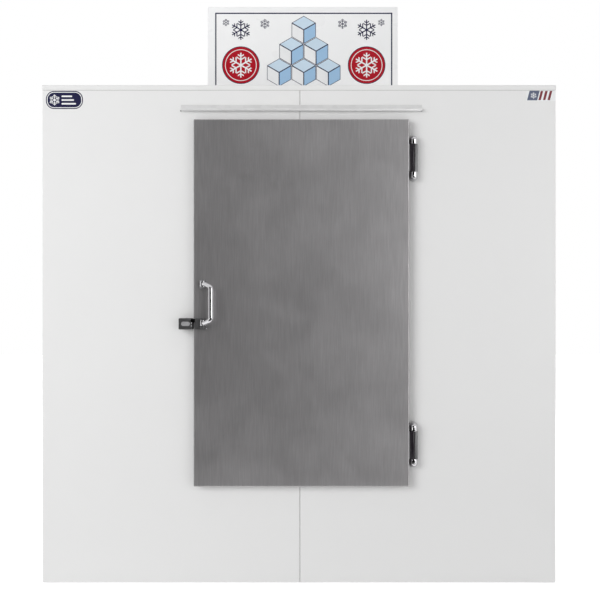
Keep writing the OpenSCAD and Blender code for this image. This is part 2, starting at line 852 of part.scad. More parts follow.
module evaporator_fan(k) {
    color("silver") in_frame() translate([k * evap_fan_x, evap_y0 + 22, evap_fan_z])
        fan_wheel(evap_fan_r, 26, 28, 3.3, 5, 28);
}

module evaporator_fan_left() {
    evaporator_fan(-1);
}

module evaporator_fan_right() {
    evaporator_fan(1);
}

module evaporator_fan_guards() {
    y1 = evap_y0;
    r = evap_fan_r + 10;
    color("silver") in_frame() for (k = [-1, 1]) translate([k * evap_fan_x, y1, evap_fan_z]) {
        for (i = [0:3]) difference() {
            y_bar(0, -14, -11, 0, r - i * 24);
            y_bar(0, -15, -10, 0, r - i * 24 - 3);
        }
        y_bar(0, -14, -11, 0, 12);
        for (i = [0:3]) rotate([0, 45 * i, 0]) block([-r + 1, -13.6, -1.5], [r - 1, -11.4, 1.5]);
        for (i = [0:3]) rotate([0, 45 + 90 * i, 0]) block([r - 3, -14, -3], [r, 0, 3]);
    }
}

module evaporator_drain_pan() {
    x = evap_w / 2 + pan_out;
    y0 = evap_y0 - 4;
    y1 = evap_y1 + 12;
    color("gainsboro") in_frame() difference() {
        union() {
            block([-x, y0, evap_z0 - pan_h], [x, y1, evap_z0]);
            x_bar(x - 1, x + 12, line_y - 90, evap_z0 - 12, drain_r + 1.5);
        }
        block([-x + 1.5, y0 + 1.5, evap_z0 - pan_h + 1.5], [x - 1.5, y1 - 1.5, evap_z0 + 1]);
        x_bar(x - 3, x + 13, line_y - 90, evap_z0 - 12, drain_r + 0.1);
    }
}

module drain_tube() {
    p = [[evap_w / 2 + pan_out + 1, line_y - 90, evap_z0 - 12], [drain_x, line_y - 90, evap_z0 - 12],
         [drain_x, line_y, evap_z0 - 12], [drain_x, line_y, 30]];
    color("lightgray") in_frame() difference() {
        bent_tube(p, drain_r, 20);
        bent_tube([p[0] - [1, 0, 0], p[1], p[2], p[3] - [0, 0, 1]], drain_r - 2, 20);
    }
}

// Storage room fittings
module control_box() {
    color("gray") in_frame() difference() {
        union() {
            block([x_in - control_d, control_y - 60, control_z - 80], [x_in, control_y + 60, control_z + 80]);
            x_bar(x_in - control_d - 12, x_in - control_d + 1, control_y, control_z + 30, 3);
        }
        block([x_in - control_d + 2, control_y - 58, control_z - 78], [x_in - 2, control_y + 58, control_z + 78]);
        x_bar(x_in - 3, x_in + 1, control_y, control_z - 40, 8);
    }
}

module thermostat_knob() {
    x = x_in - control_d - 0.6;
    color("black") in_frame() difference() {
        union() {
            x_bar(x - 4, x, control_y, control_z + 30, 20);
            x_bar(x - 16, x, control_y, control_z + 30, 14);
            translate([0, control_y, control_z + 30]) block([x - 20, -2.5, -14], [x - 10, 2.5, 14]);
        }
        x_bar(x - 12, x + 1, control_y, control_z + 30, 3.3);
    }
}

module lamp_base() {
    color("gray") in_frame() difference() {
        union() {
            z_bar(0, lamp_y, z_ceil - 16, z_ceil, 52);
            z_bar(0, lamp_y, z_ceil - 30, z_ceil - 16, 20);
        }
        z_bar(0, lamp_y, z_ceil - 8, z_ceil + 1, 46);
    }
}

module lamp_globe() {
    r = 44;
    color("white") in_frame() translate([0, lamp_y, z_ceil - 60]) rotate_extrude() {
        translate([r - 3, 0]) square([3, 44]);
        intersection() {
            difference() {
                circle(r);
                circle(r - 3);
            }
            translate([0, -r]) square(r);
        }
    }
}

module floor_racks() {
    y0 = y_in0 + 30;
    y1 = line_y - 34;
    n = 18;
    step = (y1 - y0 - slat_w) / (n - 1);
    pitch = (2 * x_in - rack_gap) / 3;
    w = (pitch - rack_gap) / 2;
    color("silver") in_frame() for (x = [-pitch, 0, pitch]) {
        for (i = [0:n - 1]) block([x - w, y0 + i * step, z_floor + runner_h],
            [x + w, y0 + i * step + slat_w, z_floor + runner_h + slat_t]);
        for (k = [20 - w, 0, w - 20])
            block([x + k - runner_w / 2, y0, z_floor], [x + k + runner_w / 2, y1, z_floor + runner_h]);
    }
}

// Hinges
module hinge_outline(zc) {
    x0 = door_x1 + 1.5;
    round_rect([x0, zc - hinge_h / 2], [x0 + hinge_w, zc + hinge_h / 2], hinge_w / 2 - 0.2);
}

module hinge_bases() {
    x0 = door_x1 + 1.5;
    h = hinge_h / 2;
    color("silver") in_frame() difference() {
        for (zc = hinge_z) {
            upright(-5, 0) hinge_outline(zc);
            intersection() {
                pan_solid([x0, hinge_y - barrel_r + 1.5, zc - h], [x0 + hinge_w, -4, zc + h], hinge_w / 2 - 0.2, 13);
                for (z = [zc - h, zc + h - knuckle_h]) block([x0 - 1, -60, z], [x0 + hinge_w + 1, 0, z + knuckle_h]);
            }
        }
        for (zc = hinge_z) z_bar(hinge_x, hinge_y, zc - h + 8, zc + h - 8, pin_r + 0.02);
    }
}

module hinge_pins() {
    color("dimgray") in_frame() for (zc = hinge_z)
        z_bar(hinge_x, hinge_y, zc - hinge_h / 2 + 8.2, zc + hinge_h / 2 - 8.2, pin_r);
}

module hinge_leaves() {
    h = hinge_h / 2 - knuckle_h - leaf_gap;
    color("black") in_frame() difference() {
        for (zc = hinge_z) {
            block([door_x1, -door_proud + door_edge_r, zc - h], [door_x1 + leaf_t, -gasket_gap - 2, zc + h]);
            block([door_x1, hinge_y - 7, zc - h], [hinge_x, hinge_y + 7, zc + h]);
            z_bar(hinge_x, hinge_y, zc - h, zc + h, barrel_r);
        }
        for (zc = hinge_z) z_bar(hinge_x, hinge_y, zc - h - 1, zc + h + 1, pin_r + 0.3);
    }
}

// Door
module door_skin() {
    t = skin_t;
    color("gray") in_frame() {
        difference() {
            pan_solid([door_x0, -door_proud, door_z], [door_x1, -gasket_gap, door_z1], door_corner_r, door_edge_r);
            pan_solid([door_x0 + t, -door_proud + t, door_z + t], [door_x1 - t, 1, door_z1 - t],
                door_corner_r - t, door_edge_r - t);
        }
        window_ring([door_x0 + t / 2, door_z + t / 2], [door_x1 - t / 2, door_z1 - t / 2],
            [door_x0 + 15, door_z + 15], [door_x1 - 15, door_z1 - 15],
            -gasket_gap - t, -gasket_gap, door_corner_r - t / 2);
    }
}

module plug_block(g, y0, y1) {
    block([open_x0 + plug_gap + g, y0, open_z0 + plug_gap + g],
        [open_x1 - plug_gap - g, y1, open_z1 - plug_gap - g]);
}

module door_foam() {
    t = skin_t;
    color("khaki") in_frame() {
        pan_solid([door_x0 + t, -door_proud + t, door_z + t], [door_x1 - t, -gasket_gap - t, door_z1 - t],
            door_corner_r - t, door_edge_r - t);
        plug_block(liner_t, -gasket_gap - t - 1, plug_depth - liner_t);
    }
}

module door_liner() {
    color("gainsboro") in_frame() difference() {
        union() {
            block([door_x0 + 15, -gasket_gap - skin_t, door_z + 15], [door_x1 - 15, -gasket_gap, door_z1 - 15]);
            plug_block(0, -gasket_gap, plug_depth);
        }
        plug_block(liner_t, -gasket_gap - 5, plug_depth - liner_t);
    }
}

module door_gasket() {
    a = [open_x0 - 26, open_z0 - 26];
    b = [open_x1 + 26, open_z1 + 26];
    color("black") in_frame() {
        window_ring(a, b, a + [18, 18], b - [18, 18], -gasket_gap, -gasket_gap + 2.5, 4);
        window_ring(a + [3, 3], b - [3, 3], a + [15, 15], b - [15, 15],
            -gasket_gap + 2.5, -jamb_face - 0.4, 4);
    }
}

// Keeper on the cabinet
module keeper_case() {
    z0 = latch_z - keeper_h / 2;
    z1 = latch_z + keeper_h / 2;
    step = tongue_reach + 1;
    color("gray") in_frame() difference() {
        union() {
            pan_solid([keeper_x0, keeper_y, z0], [keeper_x1, 0, z1], 4, 3);
            upright(keeper_y - 2, keeper_y)
                round_rect([keeper_x0 + 11, latch_z - 9], [keeper_x0 + 47, latch_z + 9], 8.9);
        }
        block([keeper_x1 - step, keeper_y - 1, latch_z + 4], [keeper_x1 + 1, -door_proud - 0.5, z1 + 1]);
        block([keeper_x1 - step + 0.8, -door_proud - 1, latch_z + 6], [keeper_x1 - 1, -door_proud + 8, z1 - 2]);
        x_bar(keeper_x1 - 20, keeper_x1 + 1, lock_y, lock_z, 4);
        block([keeper_x0 + 5, keeper_y + 5, z0 + 5], [keeper_x1 - 24, 1, z1 - 5]);
    }
}

module keeper_magnet() {
    z1 = latch_z + keeper_h / 2;
    color("dimgray") in_frame() block([keeper_x1 - tongue_reach, -door_proud - 0.5, latch_z + 6.2],
        [keeper_x1 - 1.2, -door_proud + 8, z1 - 2.2]);
}

// Latch on the door
module latch_case() {
    z0 = latch_z - case_h / 2;
    z1 = latch_z + case_h / 2;
    back = -door_proud;
    n0 = handle_z0 - grip_r - 1;
    n1 = handle_z0 + grip_r + 1;
    color("gray") in_frame() difference() {
        union() {
            pan_solid([case_x0, case_y, z0], [case_x1, back, z1], 5, 3);
            z_bar(pivot_x, pivot_y, n1 - 1, z1, pivot_r);
            z_bar(pivot_x, pivot_y, z0 + 1, n0 + 1, pivot_r);
        }
        block([pivot_x - pivot_r - 1, pivot_y - 30, n0], [case_x1 + 5, back + 1, n1]);
        block([case_x0 + 2.5, case_y + 2.5, z0 + 2.5], [pivot_x - pivot_r - 2.5, back + 1, z1 - 2]);
        block([pivot_x - pivot_r - 3, case_y + 2.5, tongue_z1 - 3.2], [case_x1 - 1.2, back + 1, tongue_z1 + 0.3]);
        z_bar(pivot_x, pivot_y, tongue_z1 - 3.2, tongue_z1 + 0.3, 8);
        z_bar(pivot_x, pivot_y, n1 - 1, tongue_z1, 4.4);
        block([case_x0 - 1, back - 5.5, tongue_z1 - 14.5], [case_x0 + 3, back + 1, tongue_z1 + 0.3]);
        x_bar(case_x0 - 1, case_x0 + 3, lock_y, lock_z, 4);
        x_bar(pivot_x - pivot_r - 3, case_x1 + 1, lock_y, lock_z, plug_r + 0.3);
    }
    color("gray") in_frame() z_bar(pivot_x, pivot_y, n0 - 1, n0 + 4, 4);
}

module latch_tongue() {
    y1 = -door_proud - 0.4;
    color("silver") in_frame() {
        block([keeper_x1 - tongue_reach, -door_proud - 5, tongue_z1 - 14], [pivot_x - 23, -door_proud - 1, tongue_z1]);
        difference() {
            block([pivot_x - 24, -door_proud - 7.5, tongue_z1 - 2.8], [pivot_x + 4.6, y1, tongue_z1]);
            block([pivot_x - 2.6, -door_proud - 9, tongue_z1 - 4], [pivot_x + 2.6, -door_proud - 1.7, tongue_z1 + 1]);
        }
    }
}

module handle_bracket() {
    z = handle_z1;
    h = grip_r + 1;
    color("silver") in_frame() {
        pan_solid([pivot_x - 14, -door_proud - 4, z - h - 8], [pivot_x + 14, -door_proud, z + h + 8], 7, 1.5);
        for (a = [z - h - 4, z + h]) {
            z_bar(pivot_x, pivot_y, a, a + 4, pivot_r);
            block([pivot_x - pivot_r, pivot_y, a], [pivot_x + pivot_r, -door_proud - 3, a + 4]);
        }
        z_bar(pivot_x, pivot_y, z - h - 3, z + h + 3, 4);
    }
}

module pull_handle() {
    d = [grip_x - pivot_x, grip_y - pivot_y];
    w = norm(d);
    top = grip_r + 0.6;
    color("silver") in_frame() translate([pivot_x, pivot_y, 0]) difference() {
        union() {
            rotate([0, 0, atan2(d[1], d[0])])
                ball_jointed([[0, 0, handle_z0], [pivot_r + 1.5, 0, handle_z0], [w, 0, handle_z0 + handle_slope],
                    [w, 0, handle_z1 - handle_slope], [pivot_r + 1.5, 0, handle_z1], [0, 0, handle_z1]], grip_r);
            for (z = [handle_z0, handle_z1]) z_bar(0, 0, z - top, z + top, pivot_r);
            z_bar(0, 0, handle_z0, tongue_z1, 4);
            block([-1, 0, tongue_z1 - 2.8], [1, finger_r, tongue_z1]);
            z_bar(0, finger_r, tongue_z1 - 2.8, tongue_z1, 2);
        }
        z_bar(0, 0, handle_z1 - 20, handle_z1 + 20, 4.3);
        z_bar(0, 0, handle_z0 - 20, handle_z0 - grip_r + 4, 4.3);
    }
}

module lock_plug() {
    color("silver") in_frame() difference() {
        x_bar(case_x1 - 14, case_x1 + 4, lock_y, lock_z, plug_r);
        block([case_x1 - 4, lock_y - 0.8, lock_z - 3.4], [case_x1 + 5, lock_y + 0.8, lock_z + 3.4]);
    }
}

module lock_bolt() {
    color("silver") in_frame() x_bar(case_x0 + 0.5, case_x1 - 15, lock_y, lock_z, 3.5);
}

module cable_gland() {
    color("black") in_frame() difference() {
        union() {
            y_bar(gland_x, cab_d - 12, cab_d + rear_out, gland_z, gland_r);
            y_bar(gland_x, cab_d, cab_d + 5, gland_z, gland_r + 5);
            y_bar(gland_x, cab_d - 8, cab_d - skin_t, gland_z, gland_r + 5);
        }
        y_bar(gland_x, cab_d - 13, cab_d + rear_out + 1, gland_z, 6);
    }
}

base_frame();
base_deck();
floor_pan();
front_skin_left();
front_skin_right();
side_skin_left();
side_skin_right();
back_skin();
roof_cap();
foam_front();
foam_walls();
foam_roof();
foam_floor();
liner_front();
liner_walls();
liner_ceiling();
liner_floor();
door_jamb();
drip_rail();
sign_panel();
sign_brackets();
rear_panel();
panel_screws();
compressor();
compressor_mounts();
condenser_coil();
fan_shroud();
condenser_fan_motor();
condenser_fan();
refrigerant_lines();
control_box();
thermostat_knob();
cable_gland();
drain_tube();
evaporator_housing();
evaporator_coil();
evaporator_fan_motors();
evaporator_fan_left();
evaporator_fan_right();
evaporator_fan_guards();
evaporator_drain_pan();
lamp_base();
lamp_globe();
floor_racks();
hinge_bases();
hinge_pins();
keeper_case();
keeper_magnet();
door_skin();
door_foam();
door_liner();
door_gasket();
hinge_leaves();
latch_case();
latch_tongue();
handle_bracket();
pull_handle();
lock_plug();
lock_bolt();
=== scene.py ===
import json
import math

import bmesh
import bpy
from mathutils import Matrix, Vector

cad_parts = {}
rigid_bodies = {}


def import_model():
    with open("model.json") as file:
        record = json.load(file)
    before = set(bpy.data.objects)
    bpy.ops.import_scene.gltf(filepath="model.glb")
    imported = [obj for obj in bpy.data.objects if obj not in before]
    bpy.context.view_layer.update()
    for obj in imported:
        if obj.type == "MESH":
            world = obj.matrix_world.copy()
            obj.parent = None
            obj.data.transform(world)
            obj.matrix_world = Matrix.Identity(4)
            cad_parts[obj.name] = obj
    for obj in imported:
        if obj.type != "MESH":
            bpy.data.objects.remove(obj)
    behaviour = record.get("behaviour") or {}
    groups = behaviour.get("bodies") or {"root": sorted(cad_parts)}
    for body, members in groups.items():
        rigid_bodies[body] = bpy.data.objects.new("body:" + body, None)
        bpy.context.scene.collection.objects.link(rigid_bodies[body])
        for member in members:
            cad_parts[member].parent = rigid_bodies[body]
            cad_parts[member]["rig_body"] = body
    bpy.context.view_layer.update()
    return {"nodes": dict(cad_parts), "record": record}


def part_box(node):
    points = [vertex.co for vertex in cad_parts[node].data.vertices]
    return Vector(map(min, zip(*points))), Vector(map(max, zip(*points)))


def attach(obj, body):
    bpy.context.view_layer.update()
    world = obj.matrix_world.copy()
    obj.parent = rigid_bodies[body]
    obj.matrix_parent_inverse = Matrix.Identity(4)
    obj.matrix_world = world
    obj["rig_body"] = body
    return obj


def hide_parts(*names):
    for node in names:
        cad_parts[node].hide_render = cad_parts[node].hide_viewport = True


# Storage freezer for bagged ice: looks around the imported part. Metres, front towards -Y.

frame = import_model()
scene = bpy.context.scene
scene.view_settings.view_transform = "Standard"
slots = {part["node"]: part["material_slot"] for part in frame["record"]["subparts"]}
print("frame:", len(frame["nodes"]), "nodes")

# camera, level and square to the front
cameraPlace = {"eye": (0.0042, -5.718, 1.176), "lens": 72.17, "sensor": 36.0}

cameraData = bpy.data.cameras.new("camera")
cameraData.lens = cameraPlace["lens"]
cameraData.sensor_width = cameraPlace["sensor"]
camera = bpy.data.objects.new("camera", cameraData)
camera.location = cameraPlace["eye"]
camera.rotation_euler = (math.radians(90), 0, 0)
scene.collection.objects.link(camera)
scene.camera = camera


# short ways to write shader trees
def put(tree, kind, feeds=None, **settings):
    node = tree.nodes.new("ShaderNode" + kind)
    for key, value in settings.items():
        setattr(node, key, value)
    for socket, source in (feeds or {}).items():
        feed(tree, node.inputs[socket], source)
    return node


def feed(tree, socket, source):
    if isinstance(source, bpy.types.NodeSocket):
        tree.links.new(source, socket)
    elif hasattr(source, "__len__") and len(source) == 3 and socket.type == "RGBA":
        socket.default_value = (*source, 1)
    else:
        socket.default_value = source


def mixed(tree, factor, first, second):
    return put(tree, "Mix", {0: factor, 6: first, 7: second}, data_type="RGBA").outputs[2]


def calc(tree, operation, first, second, clamp=False):
    node = put(tree, "Math", {0: first, 1: second}, operation=operation, use_clamp=clamp)
    return node.outputs[0]


def ranged(tree, value, low, high, toLow=0.0, toHigh=1.0):
    node = put(tree, "MapRange", {0: value, 1: low, 2: high, 3: toLow, 4: toHigh})
    return node.outputs[0]


def newGroup(name, inputs, outputs):
    group = bpy.data.node_groups.new(name, "ShaderNodeTree")
    kinds = {"value": "NodeSocketFloat", "color": "NodeSocketColor", "vector": "NodeSocketVector"}
    for label, kind, start in inputs:
        socket = group.interface.new_socket(label, in_out="INPUT", socket_type=kinds[kind])
        socket.default_value = (*start, 1) if kind == "color" else start
    for label, kind in outputs:
        group.interface.new_socket(label, in_out="OUTPUT", socket_type=kinds[kind])
    source = group.nodes.new("NodeGroupInput").outputs
    target = group.nodes.new("NodeGroupOutput").inputs
    place = put(group, "TexCoord").outputs["Object"]
    return group, source, target, place


# effects that several finishes share
def makeColorDrift():
    group, source, target, place = newGroup("colorDrift",
        [("Color", "color", (0.8, 0.8, 0.8)), ("Scale", "value", 3.0), ("Amount", "value", 0.05)],
        [("Color", "color")])
    cloud = put(group, "TexNoise", {"Vector": place, "Scale": source["Scale"], "Detail": 3.0})
    swing = calc(group, "MULTIPLY", calc(group, "SUBTRACT", cloud.outputs[0], 0.5), source["Amount"])
    gain = calc(group, "ADD", calc(group, "MULTIPLY", swing, 2.0), 1.0)
    scaled = put(group, "VectorMath", {0: source["Color"], "Scale": gain}, operation="SCALE")
    group.links.new(scaled.outputs[0], target["Color"])
    return group


def makeFineGrain():
    group, source, target, place = newGroup("fineGrain",
        [("Scale", "value", 400.0), ("Detail", "value", 2.0), ("Contrast", "value", 1.0)],
        [("Height", "value")])
    cloud = put(group, "TexNoise", {"Vector": place, "Scale": source["Scale"], "Detail": source["Detail"]})
    swing = calc(group, "MULTIPLY", calc(group, "SUBTRACT", cloud.outputs[0], 0.5), source["Contrast"])
    group.links.new(calc(group, "ADD", swing, 0.5, clamp=True), target["Height"])
    return group


def makeEdgeWear():
    group, source, target, place = newGroup("edgeWear",
        [("Radius", "value", 0.001), ("Amount", "value", 0.5), ("Scale", "value", 60.0)],
        [("Mask", "value")])
    rounded = put(group, "Bevel", {"Radius": source["Radius"]}, samples=4)
    surface = put(group, "NewGeometry")
    match = put(group, "VectorMath", {0: rounded.outputs[0], 1: surface.outputs["Normal"]},
        operation="DOT_PRODUCT")
    edge = ranged(group, match.outputs["Value"], 0.995, 0.86)
    cloud = put(group, "TexNoise", {"Vector": place, "Scale": source["Scale"], "Detail": 5.0})
    patchy = ranged(group, cloud.outputs[0], 0.42, 0.62)
    group.links.new(calc(group, "MULTIPLY", calc(group, "MULTIPLY", edge, patchy), source["Amount"],
        clamp=True), target["Mask"])
    return group


def makeDustFilm():
    group, source, target, place = newGroup("dustFilm",
        [("Color", "color", (0.8, 0.8, 0.8)), ("Dust", "color", (0.42, 0.4, 0.37)),
         ("Amount", "value", 0.2), ("Scale", "value", 8.0)],
        [("Color", "color"), ("Mask", "value")])
    normal = put(group, "SeparateXYZ", {0: put(group, "NewGeometry").outputs["Normal"]})
    facing = ranged(group, normal.outputs["Z"], -0.1, 0.9, 0.12, 1.0)
    cloud = put(group, "TexNoise", {"Vector": place, "Scale": source["Scale"], "Detail": 6.0,
        "Roughness": 0.6})
    patchy = ranged(group, cloud.outputs[0], 0.3, 0.72, 0.15, 1.0)
    mask = calc(group, "MULTIPLY", calc(group, "MULTIPLY", facing, patchy), source["Amount"], clamp=True)
    group.links.new(mixed(group, mask, source["Color"], source["Dust"]), target["Color"])
    group.links.new(mask, target["Mask"])
    return group


def makeSpangle():
    group, source, target, place = newGroup("zincSpangle",
        [("Color", "color", (0.6, 0.6, 0.6)), ("Cells", "value", 60.0), ("Contrast", "value", 0.12)],
        [("Color", "color"), ("Roughness", "value")])
    warp = put(group, "TexNoise", {"Vector": place, "Scale": 90.0, "Detail": 2.0})
    push = put(group, "VectorMath", {0: warp.outputs["Color"], "Scale": 0.006}, operation="SCALE")
    moved = put(group, "VectorMath", {0: place, 1: push.outputs[0]}, operation="ADD")
    crystals = put(group, "TexVoronoi", {"Vector": moved.outputs[0], "Scale": source["Cells"]}, feature="F1")
    tone = put(group, "SeparateColor", {0: crystals.outputs["Color"]}).outputs[0]
    swing = calc(group, "MULTIPLY", calc(group, "SUBTRACT", tone, 0.5), source["Contrast"])
    gain = calc(group, "ADD", calc(group, "MULTIPLY", swing, 2.0), 1.0)
    scaled = put(group, "VectorMath", {0: source["Color"], "Scale": gain}, operation="SCALE")
    group.links.new(scaled.outputs[0], target["Color"])
    group.links.new(ranged(group, tone, 0.0, 1.0, 0.32, 0.5), target["Roughness"])
    return group


def makeDrawnLines():
    group, source, target, place = newGroup("drawnLines",
        [("Stretch", "vector", (1.0, 1.0, 1.0)), ("Scale", "value", 300.0)],
        [("Value", "value")])
    squeezed = put(group, "VectorMath", {0: place, 1: source["Stretch"]}, operation="MULTIPLY")
    cloud = put(group, "TexNoise", {"Vector": squeezed.outputs[0], "Scale": source["Scale"], "Detail": 4.0})
    group.links.new(cloud.outputs[0], target["Value"])
    return group


def makeSmudges():
    group, source, target, place = newGroup("smudges",
        [("Scale", "value", 12.0), ("Low", "value", 0.3), ("High", "value", 0.5)],
        [("Value", "value")])
    cloud = put(group, "TexNoise", {"Vector": place, "Scale": source["Scale"], "Detail": 5.0,
        "Distortion": 0.6})
    group.links.new(ranged(group, cloud.outputs[0], 0.3, 0.7, source["Low"], source["High"]),
        target["Value"])
    return group


colorDrift = makeColorDrift()
fineGrain = makeFineGrain()
edgeWear = makeEdgeWear()
dustFilm = makeDustFilm()
zincSpangle = makeSpangle()
drawnLines = makeDrawnLines()
smudges = makeSmudges()
print("effects: 7 node groups")


# finishes
def startFinish(name, metallic=0.0):
    material = bpy.data.materials.new(name)
    material.use_nodes = True
    tree = material.node_tree
    shader = tree.nodes["Principled BSDF"]
    shader.inputs["Metallic"].default_value = metallic
    return material, tree, shader


def using(tree, group, **feeds):
    node = tree.nodes.new("ShaderNodeGroup")
    node.node_tree = group
    for label, source in feeds.items():
        feed(tree, node.inputs[label], source)
    return node.outputs


def bumped(tree, shader, layers):
    normal = None
    for height, depth in layers:
        feeds = {"Height": height, "Distance": depth, "Strength": 1.0}
        if normal:
            feeds["Normal"] = normal
        normal = put(tree, "Bump", feeds).outputs[0]
    tree.links.new(normal, shader.inputs["Normal"])


def paintFinish(name, look):
    material, tree, shader = startFinish(name, look.get("metallic", 0.0))
    color = using(tree, colorDrift, Color=look["color"], Scale=look["driftScale"], Amount=look["drift"])["Color"]
    if look.get("dust"):
        color = using(tree, dustFilm, Color=color, Dust=look["dustColor"], Amount=look["dust"],
            Scale=look["dustScale"])["Color"]
    if look.get("wear"):
        mask = using(tree, edgeWear, Radius=look["wearRadius"], Amount=look["wear"], Scale=90.0)["Mask"]
        color = mixed(tree, mask, color, look["wearColor"])
    feed(tree, shader.inputs["Base Color"], color)
    low, high = look["roughness"]
    feed(tree, shader.inputs["Roughness"], using(tree, smudges, Scale=look.get("smudgeScale", 9.0),
        Low=low, High=high)["Value"])
    peel = using(tree, fineGrain, Scale=look["peelScale"], Detail=2.0)["Height"]
    layers = [(peel, look["peelDepth"])]
    if look.get("waveDepth"):
        layers.append((using(tree, fineGrain, Scale=look["waveScale"], Detail=1.0)["Height"], look["waveDepth"]))
    bumped(tree, shader, layers)
    if "specular" in look:
        shader.inputs["Specular IOR Level"].default_value = look["specular"]
    return material


def metalFinish(name, look):
    material, tree, shader = startFinish(name, look.get("metallic", 1.0))
    color = using(tree, colorDrift, Color=look["color"], Scale=look["driftScale"], Amount=look["drift"])["Color"]
    if look.get("wear"):
        mask = using(tree, edgeWear, Radius=look["wearRadius"], Amount=look["wear"], Scale=120.0)["Mask"]
        color = mixed(tree, mask, color, look["wearColor"])
    feed(tree, shader.inputs["Base Color"], color)
    low, high = look["roughness"]
    lines = using(tree, drawnLines, Stretch=look["stretch"], Scale=look["lineScale"])["Value"]
    feed(tree, shader.inputs["Roughness"], ranged(tree, lines, 0.3, 0.7, low, high))
    bumped(tree, shader, [(lines, look["lineDepth"])])
    return material


def zincFinish(name, look):
    material, tree, shader = startFinish(name, look["metallic"])
    spangle = using(tree, zincSpangle, Color=look["color"], Cells=look["cells"], Contrast=look["contrast"])
    color = using(tree, dustFilm, Color=spangle["Color"], Dust=look["dustColor"], Amount=look["dust"],
        Scale=look["dustScale"])["Color"]
    feed(tree, shader.inputs["Base Color"], color)
    feed(tree, shader.inputs["Roughness"], spangle["Roughness"])
    bumped(tree, shader, [(using(tree, fineGrain, Scale=250.0, Detail=3.0)["Height"], 0.00003),
        (using(tree, fineGrain, Scale=4.0, Detail=1.0)["Height"], look["waveDepth"])])
    return material


def doorFinish(name, look):
    # sheet brushed up and down: fine hairlines over broader, fainter bands
    material, tree, shader = startFinish(name, look["metallic"])
    hair = using(tree, drawnLines, Stretch=look["hairStretch"], Scale=look["hairScale"])["Value"]
    band = using(tree, drawnLines, Stretch=look["bandStretch"], Scale=look["bandScale"])["Value"]
    color = using(tree, colorDrift, Color=look["color"], Scale=2.2, Amount=0.03)["Color"]
    color = mixed(tree, ranged(tree, hair, 0.34, 0.66, 0.0, look["hairTint"]), color, look["hairColor"])
    color = mixed(tree, ranged(tree, band, 0.38, 0.62, 0.0, look["bandTint"]), color, look["hairColor"])
    color = using(tree, dustFilm, Color=color, Dust=(0.3, 0.3, 0.29), Amount=0.06, Scale=5.0)["Color"]
    mask = using(tree, edgeWear, Radius=0.0015, Amount=0.35, Scale=60.0)["Mask"]
    color = mixed(tree, mask, color, look["edgeColor"])
    feed(tree, shader.inputs["Base Color"], color)
    low, high = look["roughness"]
    smear = using(tree, smudges, Scale=6.0, Low=low, High=high)["Value"]
    feed(tree, shader.inputs["Roughness"], calc(tree, "ADD", smear, ranged(tree, hair, 0.3, 0.7, -0.03, 0.05)))
    bumped(tree, shader, [(hair, look["hairDepth"]), (band, look["bandDepth"]),
        (using(tree, fineGrain, Scale=2.0, Detail=1.0)["Height"], look["waveDepth"])])
    return material


def foamFinish(name, look):
    material, tree, shader = startFinish(name)
    color = using(tree, colorDrift, Color=look["color"], Scale=30.0, Amount=0.12)["Color"]
    feed(tree, shader.inputs["Base Color"], color)
    shader.inputs["Roughness"].default_value = 0.95
    bumped(tree, shader, [(using(tree, fineGrain, Scale=700.0, Detail=3.0)["Height"], 0.0004)])
    return material


def glassFinish(name, look):
    material, tree, shader = startFinish(name)
    color = using(tree, colorDrift, Color=look["color"], Scale=20.0, Amount=0.03)["Color"]
    feed(tree, shader.inputs["Base Color"], color)
    shader.inputs["Transmission Weight"].default_value = look["clear"]
    feed(tree, shader.inputs["Roughness"], using(tree, smudges, Scale=60.0, Low=0.45, High=0.6)["Value"])
    bumped(tree, shader, [(using(tree, fineGrain, Scale=900.0, Detail=2.0)["Height"], 0.00005)])
    return material


def inkFinish(name, color, gloss=0.38):
    material, tree, shader = startFinish(name)
    color = using(tree, colorDrift, Color=color, Scale=14.0, Amount=0.05)["Color"]
    feed(tree, shader.inputs["Base Color"], color)
    feed(tree, shader.inputs["Roughness"], using(tree, smudges, Scale=18.0, Low=gloss - 0.06,
        High=gloss + 0.08)["Value"])
    bumped(tree, shader, [(using(tree, fineGrain, Scale=500.0, Detail=2.0)["Height"], 0.00002)])
    shader.inputs["Specular IOR Level"].default_value = 0.25
    return material


